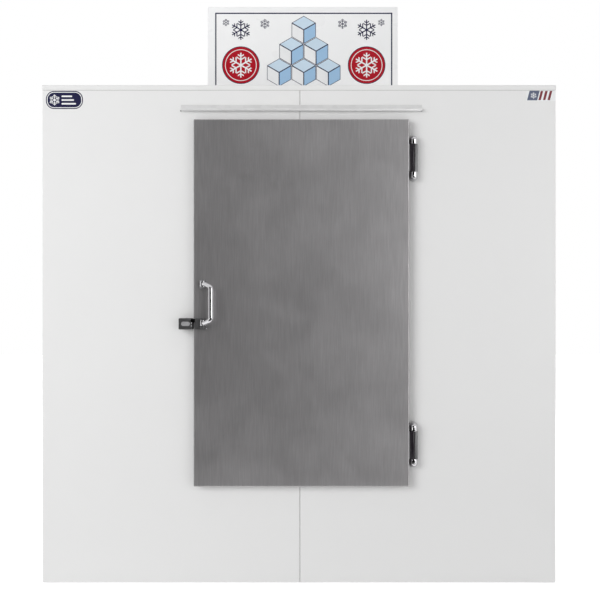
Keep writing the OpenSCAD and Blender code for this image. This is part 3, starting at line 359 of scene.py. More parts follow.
greyDust = (0.42, 0.40, 0.37)
finishes = {
    "white_paint": paintFinish("white_paint", {"color": (0.84, 0.84, 0.838), "driftScale": 1.6, "drift": 0.008,
        "roughness": (0.34, 0.46), "specular": 0.35, "peelScale": 420.0, "peelDepth": 0.00003, "waveScale": 2.4,
        "waveDepth": 0.0006, "dust": 0.05, "dustColor": greyDust, "dustScale": 3.0}),
    "frame_steel": paintFinish("frame_steel", {"color": (0.05, 0.053, 0.057), "driftScale": 6.0, "drift": 0.1,
        "roughness": (0.45, 0.65), "peelScale": 300.0, "peelDepth": 0.00008, "wear": 0.5, "wearRadius": 0.002,
        "wearColor": (0.3, 0.3, 0.3), "dust": 0.4, "dustColor": greyDust, "dustScale": 12.0}),
    "black_steel": paintFinish("black_steel", {"color": (0.012, 0.012, 0.013), "driftScale": 8.0, "drift": 0.15,
        "roughness": (0.28, 0.45), "peelScale": 350.0, "peelDepth": 0.00005, "wear": 0.4, "wearRadius": 0.0012,
        "wearColor": (0.22, 0.22, 0.22), "dust": 0.3, "dustColor": greyDust, "dustScale": 16.0}),
    "grey_box": paintFinish("grey_box", {"color": (0.34, 0.35, 0.36), "driftScale": 8.0, "drift": 0.04,
        "roughness": (0.4, 0.55), "peelScale": 400.0, "peelDepth": 0.00006, "wear": 0.25, "wearRadius": 0.001,
        "wearColor": (0.6, 0.6, 0.6)}),
    "dark_casting": paintFinish("dark_casting", {"color": (0.075, 0.075, 0.077), "driftScale": 30.0, "drift": 0.12,
        "roughness": (0.34, 0.5), "peelScale": 600.0, "peelDepth": 0.00006, "wear": 0.55, "wearRadius": 0.0012,
        "wearColor": (0.34, 0.34, 0.34), "metallic": 0.35, "smudgeScale": 60.0}),
    "zinc_sheet": zincFinish("zinc_sheet", {"color": (0.60, 0.61, 0.62), "cells": 70.0, "contrast": 0.1,
        "metallic": 0.55, "dust": 0.1, "dustColor": greyDust, "dustScale": 6.0, "waveDepth": 0.0008}),
    "fin_aluminium": metalFinish("fin_aluminium", {"color": (0.72, 0.73, 0.74), "driftScale": 5.0, "drift": 0.05,
        "roughness": (0.3, 0.46), "stretch": (0.03, 1.0, 1.0), "lineScale": 420.0, "lineDepth": 0.00003,
        "metallic": 0.8}),
    "guard_wire": metalFinish("guard_wire", {"color": (0.55, 0.56, 0.57), "driftScale": 20.0, "drift": 0.08,
        "roughness": (0.24, 0.4), "stretch": (1.0, 1.0, 1.0), "lineScale": 300.0, "lineDepth": 0.00003}),
    "chrome": metalFinish("chrome", {"color": (0.58, 0.575, 0.59), "driftScale": 30.0, "drift": 0.02,
        "roughness": (0.05, 0.1), "stretch": (1.0, 1.0, 0.2), "lineScale": 160.0, "lineDepth": 0.000004,
        "wear": 0.15, "wearRadius": 0.0008, "wearColor": (0.5, 0.5, 0.5)}),
    "dark_steel": metalFinish("dark_steel", {"color": (0.2, 0.2, 0.21), "driftScale": 40.0, "drift": 0.1,
        "roughness": (0.3, 0.45), "stretch": (1.0, 1.0, 0.1), "lineScale": 500.0, "lineDepth": 0.00003}),
    "copper": metalFinish("copper", {"color": (0.66, 0.30, 0.17), "driftScale": 14.0, "drift": 0.2,
        "roughness": (0.22, 0.42), "stretch": (1.0, 1.0, 1.0), "lineScale": 60.0, "lineDepth": 0.00004}),
    "door_sheet": doorFinish("door_sheet", {"color": (0.455, 0.445, 0.452), "hairColor": (0.312, 0.303, 0.309),
        "edgeColor": (0.46, 0.46, 0.46), "metallic": 0.75, "hairStretch": (1.0, 1.0, 0.035), "hairScale": 330.0,
        "hairTint": 0.55, "bandStretch": (1.0, 1.0, 0.09), "bandScale": 110.0, "bandTint": 0.3,
        "hairDepth": 0.00006, "bandDepth": 0.00016, "roughness": (0.37, 0.44), "waveDepth": 0.00022}),
    "foam": foamFinish("foam", {"color": (0.78, 0.66, 0.36)}),
    "jamb_plastic": paintFinish("jamb_plastic", {"color": (0.62, 0.62, 0.61), "driftScale": 5.0, "drift": 0.03,
        "roughness": (0.3, 0.42), "peelScale": 200.0, "peelDepth": 0.00004, "dust": 0.12, "dustColor": greyDust,
        "dustScale": 10.0}),
    "sign_board": paintFinish("sign_board", {"color": (0.955, 0.96, 0.965), "driftScale": 2.0, "drift": 0.01,
        "roughness": (0.26, 0.38), "peelScale": 260.0, "peelDepth": 0.00002, "waveScale": 3.0,
        "waveDepth": 0.0005}),
    "rubber": paintFinish("rubber", {"color": (0.018, 0.018, 0.019), "driftScale": 12.0, "drift": 0.2,
        "roughness": (0.6, 0.8), "peelScale": 500.0, "peelDepth": 0.00008, "dust": 0.2, "dustColor": greyDust,
        "dustScale": 20.0}),
    "black_plastic": paintFinish("black_plastic", {"color": (0.02, 0.02, 0.021), "driftScale": 12.0, "drift": 0.1,
        "roughness": (0.42, 0.55), "peelScale": 800.0, "peelDepth": 0.00006}),
    "drain_plastic": paintFinish("drain_plastic", {"color": (0.72, 0.72, 0.70), "driftScale": 6.0, "drift": 0.04,
        "roughness": (0.28, 0.4), "peelScale": 150.0, "peelDepth": 0.00003}),
    "hinge_sleeve": paintFinish("hinge_sleeve", {"color": (0.016, 0.013, 0.017), "driftScale": 30.0, "drift": 0.1,
        "roughness": (0.2, 0.3), "peelScale": 300.0, "peelDepth": 0.00002, "smudgeScale": 80.0, "specular": 0.22}),
    "frosted_glass": glassFinish("frosted_glass", {"color": (0.9, 0.91, 0.9), "clear": 0.45}),
}
ovalFinish = paintFinish("ovalFinish", {"color": (0.34, 0.34, 0.35), "driftScale": 60.0, "drift": 0.2,
    "roughness": (0.3, 0.45), "peelScale": 500.0, "peelDepth": 0.00008, "metallic": 0.1, "wear": 0.4,
    "wearRadius": 0.0012, "wearColor": (0.5, 0.5, 0.5), "smudgeScale": 70.0})
satinFinish = metalFinish("satinFinish", {"color": (0.21, 0.21, 0.215), "driftScale": 30.0, "drift": 0.08,
    "roughness": (0.34, 0.48), "stretch": (1.0, 1.0, 0.06), "lineScale": 600.0, "lineDepth": 0.00002,
    "metallic": 0.15})
railFinish = zincFinish("railFinish", {"color": (0.75, 0.75, 0.75), "cells": 45.0, "contrast": 0.03,
    "metallic": 0.12, "dust": 0.06, "dustColor": greyDust, "dustScale": 5.0, "waveDepth": 0.0004})
brightScrew = metalFinish("brightScrew", {"color": (0.72, 0.72, 0.73), "driftScale": 60.0, "drift": 0.05,
    "roughness": (0.18, 0.3), "stretch": (1.0, 1.0, 1.0), "lineScale": 500.0, "lineDepth": 0.00001})
# grey for the real sealant beads, and for the painted shade line under the roof cap's lip
sealantFinish = paintFinish("sealantFinish", {"color": (0.60, 0.60, 0.595), "driftScale": 25.0, "drift": 0.05,
    "roughness": (0.45, 0.6), "peelScale": 150.0, "peelDepth": 0.00008})
navyInk = inkFinish("navyInk", (0.018, 0.018, 0.062))
redInk = inkFinish("redInk", (0.44, 0.002, 0.014))
paleInk = inkFinish("paleInk", (0.62, 0.76, 0.88))
iceInk = inkFinish("iceInk", (0.36, 0.56, 0.78))
whiteInk = inkFinish("whiteInk", (0.88, 0.89, 0.9))
slateInk = inkFinish("slateInk", (0.11, 0.13, 0.2))
wineInk = inkFinish("wineInk", (0.2, 0.03, 0.04))

for name, node in frame["nodes"].items():
    node.data.materials.clear()
    node.data.materials.append(finishes[slots[name]])
print("finishes:", len(finishes), "on the CAD nodes, 12 more for new pieces")


# helpers for pieces
def addPiece(name, mesh, body, materials):
    piece = bpy.data.objects.new(name, mesh)
    scene.collection.objects.link(piece)
    for material in materials if isinstance(materials, list) else [materials]:
        mesh.materials.append(material)
    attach(piece, body)
    return piece


def bodyOf(node):
    return frame["nodes"][node]["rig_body"]


def softCopy(node, width, segments=3, angle=28, materials=None, pick=None):
    mesh = frame["nodes"][node].data.copy()
    mesh.materials.clear()
    work = bmesh.new()
    work.from_mesh(mesh)
    bmesh.ops.remove_doubles(work, verts=work.verts, dist=1e-6)
    if pick:
        for face in work.faces:
            face.material_index = pick(face.calc_center_median(), face.normal)
    bmesh.ops.dissolve_limit(work, angle_limit=math.radians(0.8), verts=work.verts, edges=work.edges,
        delimit={"MATERIAL"})
    work.to_mesh(mesh)
    work.free()
    words = node.split("_")
    piece = addPiece(words[0] + "".join(w.capitalize() for w in words[1:]) + "Soft", mesh, bodyOf(node),
        materials or finishes[slots[node]])
    bevel = piece.modifiers.new("edges", "BEVEL")
    bevel.width = width
    bevel.segments = segments
    bevel.limit_method = "ANGLE"
    bevel.angle_limit = math.radians(angle)
    bevel.harden_normals = True
    mesh.shade_smooth()
    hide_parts(node)
    return piece


def meshOf(name, work):
    bmesh.ops.recalc_face_normals(work, faces=work.faces)
    mesh = bpy.data.meshes.new(name)
    work.to_mesh(mesh)
    work.free()
    return mesh


def smoothOver(mesh, angle):
    mesh.shade_smooth()
    mesh.set_sharp_from_angle(angle=math.radians(angle))
    return mesh


def bridge(work, rows, material=0, ends=True):
    # quads from each ring of points to the next, and a face over each end
    faces = [work.faces.new(rows[0][::-1]), work.faces.new(rows[-1])] if ends else []
    for a, b in zip(rows, rows[1:]):
        for k in range(len(a)):
            j = (k + 1) % len(a)
            faces.append(work.faces.new((a[k], a[j], b[j], b[k])))
    for face in faces:
        face.material_index = material


def lathe(work, centre, axis, profile, turns=40):
    # a closed form turned about an axis; profile holds (radius, height) from one end to the other
    turn = Vector((0, 0, 1)).rotation_difference(Vector(axis)).to_matrix()
    at = lambda r, h, k: Vector(centre) + turn @ Vector((r * math.cos(2 * math.pi * k / turns),
        r * math.sin(2 * math.pi * k / turns), h))
    bridge(work, [[work.verts.new(at(r, h, k)) for k in range(turns)] for r, h in profile])


def roundedRod(radius, low, high, edge, steps=5):
    # profile of a cylinder with rounded rims
    turnIn = [(radius - edge + edge * math.sin(math.pi / 2 * i / steps),
        edge - edge * math.cos(math.pi / 2 * i / steps)) for i in range(steps + 1)]
    return [(r, low + h) for r, h in turnIn] + [(r, high - h) for r, h in turnIn[::-1]]


def sweptTube(work, points, radii, turns=32):
    # a closed tube along a run of points, each with its own radius
    rows = []
    side = None
    for i, point in enumerate(points):
        ahead = Vector(points[min(i + 1, len(points) - 1)]) - Vector(points[max(i - 1, 0)])
        ahead.normalize()
        if side is None:
            side = ahead.orthogonal()
        side = (side - ahead * side.dot(ahead)).normalized()
        other = ahead.cross(side)
        rows.append([work.verts.new(Vector(point) + (side * math.cos(2 * math.pi * k / turns)
            + other * math.sin(2 * math.pi * k / turns)) * radii[i]) for k in range(turns)])
    bridge(work, rows)


def roundedPath(corners, bend, steps=10, spacing=0.004):
    # straight runs joined by smooth bends of one radius
    path = [Vector(corners[0])]
    for before, here, after in zip(corners, corners[1:], corners[2:]):
        before, here, after = Vector(before), Vector(here), Vector(after)
        a, b = (before - here).normalized(), (after - here).normalized()
        half = a.angle(b) / 2
        reach = min(bend / math.tan(half), (before - here).length * 0.48, (after - here).length * 0.48)
        start, end = here + a * reach, here + b * reach
        for i in range(steps + 1):
            t = i / steps
            path.append(start * (1 - t) ** 2 + here * 2 * t * (1 - t) + end * t ** 2)
    path.append(Vector(corners[-1]))
    full = [path[0]]
    for point in path[1:]:
        gap = (point - full[-1]).length
        if gap < 1e-6:
            continue
        parts = max(1, round(gap / spacing)) if gap > 2 * spacing else 1
        start = full[-1].copy()
        full += [start.lerp(point, k / parts) for k in range(1, parts + 1)]
    return full


def flatPrisms(name, groups, y, depth, layer):
    # closed prisms from outlines in X and Z; each group is (ink, outlines, number of layers it stands proud)
    work = bmesh.new()
    materials = []
    for material, outlines, layers in groups:
        if material not in materials:
            materials.append(material)
        front = y - depth - layers * layer
        for outline in outlines:
            bridge(work, [[work.verts.new((x, at, z)) for x, z in outline] for at in (y, front)],
                materials.index(material))
    return addPiece(name, meshOf(name, work), "cabinet", materials)


# printing on the header sign, all of it generic
signArt = {"centreX": 0.016, "bottomZ": 2.069, "faceY": -0.468, "ink": 0.0002, "layer": 0.00004,
    "border": (-0.382, 0.022, 0.391, 0.361), "borderWidth": 0.0055, "cube": 0.062, "cubeHalf": 0.053692,
    "cubeFirst": (0.0045, 0.1), "cubeRow": 0.093, "cubeShare": 0.985, "cubeLine": 0.085,
    "flakes": [(-0.27, 0.286, 0.044), (0.279, 0.286, 0.044), (-0.165, 0.312, 0.022), (0.174, 0.312, 0.022),
        (-0.335, 0.318, 0.016), (0.343, 0.318, 0.016)],
    "discs": [(-0.270, 0.132), (0.279, 0.132)], "discRadii": (0.082, 0.079, 0.069, 0.066), "discFlake": 0.054}
flake = {"halfArm": 0.055, "hub": 2.2, "branches": ((0.42, 0.34), (0.68, 0.22)), "branchWidth": 2.1,
    "branchLean": (0.5, 0.866)}


def roundedBox(x0, z0, x1, z1, r, steps=8):
    outline = []
    for cx, cz, start in ((x1 - r, z1 - r, 0), (x0 + r, z1 - r, 90), (x0 + r, z0 + r, 180), (x1 - r, z0 + r, 270)):
        for i in range(steps + 1):
            angle = math.radians(start + 90 * i / steps)
            outline.append((cx + r * math.cos(angle), cz + r * math.sin(angle)))
    return outline


def snowflake(cx, cz, radius):
    # one closed outline: six arms, each with two pairs of branches
    w = radius * flake["halfArm"]
    thick = w * flake["branchWidth"]
    alongShare, outShare = flake["branchLean"]
    side = [(w * flake["hub"], -w)]
    for start, length in flake["branches"]:
        p, along, out = radius * start, radius * length * alongShare, radius * length * outShare
        side += [(p, -w), (p + along, -w - out), (p + along + thick, -w - out), (p + thick, -w)]
    side.append((radius, -w))
    outline = []
    for arm in range(6):
        angle = math.radians(90 + 60 * arm)
        for r, s in side + [(r, -s) for r, s in side[::-1]]:
            outline.append((cx + r * math.cos(angle) - s * math.sin(angle),
                cz + r * math.sin(angle) + s * math.cos(angle)))
    return outline


def cubeFaces(cx, cz, size, inset):
    # the three visible sides of a cube seen from a corner, each drawn a little inside its outline
    angles = [math.radians(90 + 60 * k) for k in range(6)]
    corners = [(cx + size * math.cos(angle), cz + size * math.sin(angle)) for angle in angles]
    sides = []
    for a, b, c in ((1, 0, 5), (1, 2, 3), (5, 4, 3)):
        quad = [corners[a], corners[b], corners[c], (cx, cz)]
        mx = sum(p[0] for p in quad) / 4
        mz = sum(p[1] for p in quad) / 4
        sides.append([(mx + (x - mx) * (1 - inset), mz + (z - mz) * (1 - inset)) for x, z in quad])
    return corners, sides


def buildSignArt():
    a = signArt
    ox, oz = a["centreX"], a["bottomZ"]
    x0, z0, x1, z1 = a["border"]
    b = a["borderWidth"]
    rim = [[(x0, z0), (x1, z0), (x1 - b, z0 + b), (x0 + b, z0 + b)],
        [(x1, z0), (x1, z1), (x1 - b, z1 - b), (x1 - b, z0 + b)],
        [(x1, z1), (x0, z1), (x0 + b, z1 - b), (x1 - b, z1 - b)],
        [(x0, z1), (x0, z0), (x0 + b, z0 + b), (x0 + b, z1 - b)]]
    flakes = [snowflake(cx, cz, r) for cx, cz, r in a["flakes"]]
    firstX, firstZ = a["cubeFirst"]
    centres = [(firstX + shift * a["cubeHalf"], firstZ + row * a["cubeRow"])
        for row, shifts in enumerate(((-2, 0, 2), (-1, 1), (0,))) for shift in shifts]
    rings = [[roundedBox(cx - r, cz - r, cx + r, cz + r, r, 16) for cx, cz in a["discs"]] for r in a["discRadii"]]
    discFlakes = [snowflake(cx, cz, a["discFlake"]) for cx, cz in a["discs"]]
    hexes, tops, lefts, rights = [], [], [], []
    for cx, cz in centres:
        outline, sides = cubeFaces(cx, cz, a["cube"] * a["cubeShare"], a["cubeLine"])
        for shapes, shape in zip((hexes, tops, lefts, rights), (outline, *sides)):
            shapes.append(shape)
    move = lambda shapes: [[(ox + x, oz + z) for x, z in s] for s in shapes]
    flatPrisms("signArt", [(navyInk, move(rim + flakes + rings[0]), 0), (redInk, move(rings[1]), 1),
        (whiteInk, move(rings[2]), 2), (redInk, move(rings[3]), 3), (whiteInk, move(discFlakes), 4),
        (navyInk, move(hexes), 3), (paleInk, move(tops), 5), (whiteInk, move(lefts), 5),
        (iceInk, move(rights), 5)],
        a["faceY"], a["ink"], a["layer"])


buildSignArt()

# two small labels on the front, with plain patterns
labels = {"faceY": -0.718, "film": 0.00015, "layer": 0.00005,
    "left": {"box": (-1.052, 1.970, -0.898, 2.045), "corner": 0.034, "insets": (0, 0.004, 0.007),
        "flakeLeft": 0.041, "flake": 0.023, "barX": (-0.012, 0.048), "barLow": -0.019, "barPitch": 0.0155,
        "barHeight": 0.0065, "barShorter": 0.008, "barCorner": 0.0025},
    "right": {"box": (0.945, 2.003, 1.066, 2.049), "corner": 0.004, "lean": 0.012, "block": (0.003, 0.045),
        "blockInset": 0.003, "stripe": (0.050, 0.060), "stripePitch": 0.019, "stripeInset": 0.004,
        "flakeRight": 0.03, "flake": 0.013}}


def buildLabels():
    y, film, layer = labels["faceY"], labels["film"], labels["layer"]
    a = labels["left"]
    x0, z0, x1, z1 = a["box"]
    cx, cz = (x0 + x1) / 2, (z0 + z1) / 2
    plates = [[roundedBox(x0 + i, z0 + i, x1 - i, z1 - i, a["corner"] - i)] for i in a["insets"]]
    bars = []
    for k in range(3):
        low = cz + a["barLow"] + a["barPitch"] * k
        bars.append(roundedBox(cx + a["barX"][0], low, cx + a["barX"][1] - a["barShorter"] * k,
            low + a["barHeight"], a["barCorner"], 3))
    flatPrisms("leftLabel", [(navyInk, plates[0], 0), (whiteInk, plates[1], 1), (navyInk, plates[2], 2),
        (whiteInk, [snowflake(cx - a["flakeLeft"], cz, a["flake"])] + bars, 3)], y, film, layer)
    a = labels["right"]
    x0, z0, x1, z1 = a["box"]

    def slant(start, end, inset):
        low, high = z0 + inset, z1 - inset
        lean = a["lean"] * (high - low) / (z1 - z0)
        return [(x0 + start, low), (x0 + end, low), (x0 + end + lean, high), (x0 + start + lean, high)]

    stripes = [slant(*[end + a["stripePitch"] * k for end in a["stripe"]], a["stripeInset"]) for k in range(3)]
    flatPrisms("rightLabel", [(whiteInk, [roundedBox(x0, z0, x1, z1, a["corner"], 4)], 0),
        (slateInk, [slant(*a["block"], a["blockInset"])], 1), (wineInk, stripes, 1),
        (whiteInk, [snowflake(x0 + a["flakeRight"], (z0 + z1) / 2, a["flake"])], 2)],
        y, film, layer)


buildLabels()
print("printing: sign and two labels")

# beads of sealant in the joints of the outer skins, and grey beads just under the roof cap's lip that are painted
# shade, standing in for the shadow line there; a bead's size is (width, height)
sealantAndShadeBeads = {"seamX": 0.004, "seamY": -0.7152, "seamRuns": [(0.003, 0.4175), (1.9110, 2.0485)],
    "seam": (0.0029, 0.0017), "capZ": 2.0478, "capHalf": 1.062, "capFront": -0.7179, "capBack": 0.8059,
    "capSides": (-0.71, 0.800), "cap": (0.003, 0.0009), "lapX": 1.0668, "lapY": (-0.68775, 0.77575),
    "lapRun": (0.004, 2.046), "lap": (0.0035, 0.0011), "roofY": 0.044, "roofZ": 2.0689,
    "roof": (0.006, 0.0012), "step": 0.03, "facets": 6, "swells": ((0.1, 1.7, 0), (0.06, 0.61, 2))}


def addBead(work, start, end, outward, size):
    # a low round bead along a straight joint, a little uneven as a gun leaves it
    start, end, outward = Vector(start), Vector(end), Vector(outward)
    width, height = size
    side = outward.cross(end - start).normalized()
    count = max(2, round((end - start).length / sealantAndShadeBeads["step"]))
    facets = sealantAndShadeBeads["facets"]
    rows = []
    for i in range(count + 1):
        middle = start.lerp(end, i / count)
        swell = 1 + sum(most * math.sin(i * pace + lead) for most, pace, lead in sealantAndShadeBeads["swells"])
        rows.append([work.verts.new(middle + side * math.cos(math.pi * k / facets) * width / 2
            + outward * math.sin(math.pi * k / facets) * height * swell) for k in range(facets + 1)])
    bridge(work, rows)


def buildSealantAndShadeLine():
    s = sealantAndShadeBeads
    work = bmesh.new()
    for low, high in s["seamRuns"]:
        addBead(work, (s["seamX"], s["seamY"], low), (s["seamX"], s["seamY"], high), (0, -1, 0), s["seam"])
    z, half = s["capZ"], s["capHalf"]
    # painted shade: grey beads just under the roof cap's lip, at the front, back and sides, stand in for the shadow
    # line below it
    addBead(work, (-half, s["capFront"], z), (half, s["capFront"], z), (0, -1, 0), s["cap"])
    addBead(work, (half, s["capBack"], z), (-half, s["capBack"], z), (0, 1, 0), s["cap"])
    for side in (-1, 1):
        x = side * s["lapX"]
        addBead(work, (x, s["capSides"][0], z), (x, s["capSides"][1], z), (side, 0, 0), s["cap"])
        for y in s["lapY"]:
            addBead(work, (x, y, s["lapRun"][0]), (x, y, s["lapRun"][1]), (side, 0, 0), s["lap"])
    addBead(work, (-half, s["roofY"], s["roofZ"]), (half, s["roofY"], s["roofZ"]), (0, 0, 1), s["roof"])
    mesh = smoothOver(meshOf("jointSealant", work), 60)
    addPiece("jointSealant", mesh, "cabinet", sealantFinish)


buildSealantAndShadeLine()
print("sealant: done")

# castings, brackets and boxes with softened edges
softened = {"latch_case": (0.0008, 3), "sign_panel": (0.0012, 2), "sign_brackets": (0.0006, 2),
    "control_box": (0.0012, 3), "thermostat_knob": (0.0012, 3), "cable_gland": (0.0006, 2),
    "floor_racks": (0.0012, 2), "evaporator_housing": (0.0006, 2), "evaporator_drain_pan": (0.0006, 2),
    "base_frame": (0.002, 2)}
for node, (width, segments) in softened.items():
    softCopy(node, width, segments)

softCopy("drip_rail", 0.0006, 2, materials=railFinish)
softCopy("handle_bracket", 0.0008, 3, materials=satinFinish)

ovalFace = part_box("keeper_case")[0][1] + 0.0005  # faces further forward are the oval's
softCopy("keeper_case", 0.0008, 3, materials=[finishes["dark_casting"], ovalFinish],
    pick=lambda at, out: int(at.y < ovalFace))
leafEdge = 0.4571  # the leaves' satin plates lie left of this, their black sleeves right of it
softCopy("hinge_leaves", 0.0006, 2, materials=[finishes["hinge_sleeve"], satinFinish],
    pick=lambda at, out: int(at.x < leafEdge))
print("softened copies: done")

# hinge castings: a long plate with a domed cap at each end
hinge = {"x": 0.4745, "half": 0.019, "middles": (1.763, 0.577), "long": 0.0945, "cap": 0.037, "plateTop": -0.723,
    "wall": -0.718, "front": -0.7638, "sidePower": 2.35, "endPower": 2.3, "endShare": 0.9985, "capShare": 0.985,
    "rim": 0.0007, "rimRun": 0.0012, "rimStart": 0.0004, "sink": 0.0004, "straightRows": 4, "bendRows": 14,
    "facets": 30, "cornerEase": 0.0002, "cornerSteps": 14,
    "plateEdge": ((0.0009, 0.0), (0.0003, 0.0003), (0.0, 0.0009)), "screwUp": 0.074}


def hingeCap(work, middle, way):
    # a half-round shell, square at its rim and domed towards the hinge's end
    h = hinge
    bend = h["half"]
    facets = h["facets"]
    straight = h["cap"] - bend
    depth = h["plateTop"] - h["front"]
    runs = [0.0, h["rimStart"], h["rimRun"]]
    steps, turns = h["straightRows"], h["bendRows"]
    runs += [h["rimRun"] + (straight - h["rimRun"]) * k / steps for k in range(1, steps + 1)]
    runs += [straight + bend * math.sin(math.pi / 2 * k / turns) for k in range(1, turns + 1)]
    rows = []
    for run in runs:
        past = min(max(0.0, (run - straight) / bend), h["endShare"])
        wide = (1 - past ** 2) ** 0.5
        deep = (1 - past ** h["endPower"]) ** (1 / h["endPower"])
        lip = h["rim"] * (1 - min(1.0, run / h["rimRun"])) ** 2
        z = middle + way * (h["long"] - h["cap"] + run)
        row = []
        for k in range(facets + 1):
            c, d = math.cos(math.pi * k / facets), math.sin(math.pi * k / facets)
            x = math.copysign(abs(c) ** (2 / h["sidePower"]), c) * (bend * h["capShare"] * wide - lip)
            y = d ** (2 / h["sidePower"]) * (depth * deep - lip)
            row.append(work.verts.new((h["x"] + x, h["plateTop"] + h["sink"] - y, z)))
        rows.append(row)
    bridge(work, rows)


def buildHingeCastings():
    h = hinge
    work = bmesh.new()
    for middle in h["middles"]:
        for way in (-1, 1):
            hingeCap(work, middle, way)
    for middle in h["middles"]:
        outline = roundedBox(h["x"] - h["half"], middle - h["long"], h["x"] + h["half"], middle + h["long"],
            h["half"] - h["cornerEase"], h["cornerSteps"])
        rows = []
        for y, inset in [(h["wall"], 0.0)] + [(h["plateTop"] + back, inset) for back, inset in h["plateEdge"]]:
            rows.append([work.verts.new((h["x"] + (x - h["x"]) * (1 - inset / h["half"]), y,
                middle + (z - middle) * (1 - inset / h["long"]))) for x, z in outline])
        bridge(work, rows, 1)
    piece = addPiece("hingeCastings", smoothOver(meshOf("hingeCastings", work), 42), bodyOf("hinge_bases"),
        [finishes["chrome"], satinFinish])
    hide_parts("hinge_bases")


buildHingeCastings()
print("hinge castings: done")

# door gasket: a strip with a bulb, mitred at the corners
gasket = {"box": (-0.418, 0.423, 0.438, 1.905), "back": -0.728,
    "profile": [(0.0, 0.0), (0.0, 0.0022), (0.0035, 0.0028), (0.0042, 0.0050), (0.0038, 0.0066), (0.0052, 0.0078),
        (0.0078, 0.0081), (0.0108, 0.0079), (0.0128, 0.0068), (0.0134, 0.0050), (0.0122, 0.0042), (0.0136, 0.0034),
        (0.0150, 0.0026), (0.0180, 0.0022), (0.0180, 0.0)]}


def buildGasket():
    g = gasket
    x0, z0, x1, z1 = g["box"]
    corners = [(x0, z0, 1, 1), (x1, z0, -1, 1), (x1, z1, -1, -1), (x0, z1, 1, -1)]
    work = bmesh.new()
    rows = [[work.verts.new((x + dx * inward, g["back"] + up, z + dz * inward)) for inward, up in g["profile"]]
        for x, z, dx, dz in corners]
    bridge(work, rows + rows[:1], ends=False)
    mesh = smoothOver(meshOf("gasketStrip", work), 40)
    piece = addPiece("gasketStrip", mesh, bodyOf("door_gasket"), finishes[slots["door_gasket"]])
    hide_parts("door_gasket")


buildGasket()
print("gasket: done")

# pull handle: one bent rod between two round bosses
pull = {"pivot": (-0.3955, -0.782), "grip": (-0.360, -0.813), "low": 1.0815, "high": 1.2415, "slope": 0.012,
    "start": 0.004, "straight": 0.0135, "rod": 0.0104, "swell": 0.0003, "gripShare": 0.9, "bend": 0.017,
    "boss": 0.012, "bossHalf": 0.0116, "bossEdge": 0.0018, "spindle": 0.004, "spindleTop": 1.0982,
    "spindleEdge": 0.0004}


def buildPull():
    work = bmesh.new()
    px, py = pull["pivot"]
    gx, gy = pull["grip"]
    reach = math.hypot(gx - px, gy - py)
    ux, uy = (gx - px) / reach, (gy - py) / reach
    at = lambda r, z: (px + ux * r, py + uy * r, z)
    low, high, slope = pull["low"], pull["high"], pull["slope"]
    corners = [at(pull["start"], low), at(pull["straight"], low), at(reach, low + slope),
        at(reach, high - slope), at(pull["straight"], high), at(pull["start"], high)]
    path = roundedPath(corners, pull["bend"])
    middle = (low + high) / 2
    radii = []
    for point in path:
        along = math.hypot(point.x - px, point.y - py)
        swell = pull["swell"] * math.cos((point.z - middle) / (high - low) * math.pi)
        radii.append(pull["rod"] + (swell if along > reach * pull["gripShare"] else 0))
    sweptTube(work, path, radii)
    for z in (low, high):
        lathe(work, (px, py, z), (0, 0, 1),
            roundedRod(pull["boss"], -pull["bossHalf"], pull["bossHalf"], pull["bossEdge"]))
    lathe(work, (px, py, 0), (0, 0, 1),
        roundedRod(pull["spindle"], low, pull["spindleTop"], pull["spindleEdge"]))
    piece = addPiece("pullHandleRod", smoothOver(meshOf("pullHandleRod", work), 50), bodyOf("pull_handle"),
        finishes["chrome"])
    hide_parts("pull_handle")


buildPull()
print("pull handle: done")

# screws and rivets
fasteners = {"screw": (0.0026, 0.0012), "rivet": (0.0032, 0.0012), "turns": 24,
    "dome": ((0.35, 0.97), (0.62, 0.85), (0.82, 0.62), (0.95, 0.3), (1.0, 0.0)), "recess": (1.15, 0.26, 1.1),
    "spin": 0.83, "railX": (-0.491, 0.509), "railYZ": (-0.7205, 1.9625), "keeperXY": (-0.4428, -0.7779),
    "keeperZ": (1.0705, 1.0815), "sideX": 1.067, "sideY": (-0.703, 0.791), "sideRow": (0.1, 0.213, 10),
    "backYZ": (0.8078, 2.0585), "backRow": (-0.96, 0.24, 9), "roofYZ": (0.060, 2.0689),
    "roofRow": (-1.02, 0.17, 13)}


def headMesh(name, size, recess):
    # a domed head along +Z, with a cross recess if asked
    radius, height = size
    turns = fasteners["turns"]
    work = bmesh.new()
    grid = []
    for share, rise in fasteners["dome"]:
        grid.append([work.verts.new((radius * share * math.cos(2 * math.pi * k / turns),
            radius * share * math.sin(2 * math.pi * k / turns), height * rise)) for k in range(turns)])
    top = work.verts.new((0, 0, height))
    for k in range(turns):
        j = (k + 1) % turns
        work.faces.new((top, grid[0][k], grid[0][j]))
        for a, b in zip(grid, grid[1:]):
            work.faces.new((a[k], b[k], b[j], a[j]))
    work.faces.new(grid[-1][::-1])
    mesh = meshOf(name, work)
    if not recess:
        return mesh
    body = bpy.data.objects.new(name + "Body", mesh)
    scene.collection.objects.link(body)
    cutters = []
    long, wide, deep = fasteners["recess"]
    for turn in (0, 90):
        work = bmesh.new()
        bmesh.ops.create_cube(work, size=1.0, matrix=Matrix.Rotation(math.radians(turn), 4, "Z")
            @ Matrix.Translation((0, 0, height)) @ Matrix.Diagonal((radius * long, radius * wide, height * deep, 1)))
        cutter = bpy.data.objects.new(name + "Cut", meshOf(name + "Cut", work))
        scene.collection.objects.link(cutter)
        cutters.append(cutter)
        boolean = body.modifiers.new("recess", "BOOLEAN")
        boolean.object = cutter
        boolean.operation = "DIFFERENCE"
    bpy.context.view_layer.update()
    done = bpy.data.meshes.new_from_object(body.evaluated_get(bpy.context.evaluated_depsgraph_get()))
    for extra in cutters + [body]:
        bpy.data.objects.remove(extra)
    return done


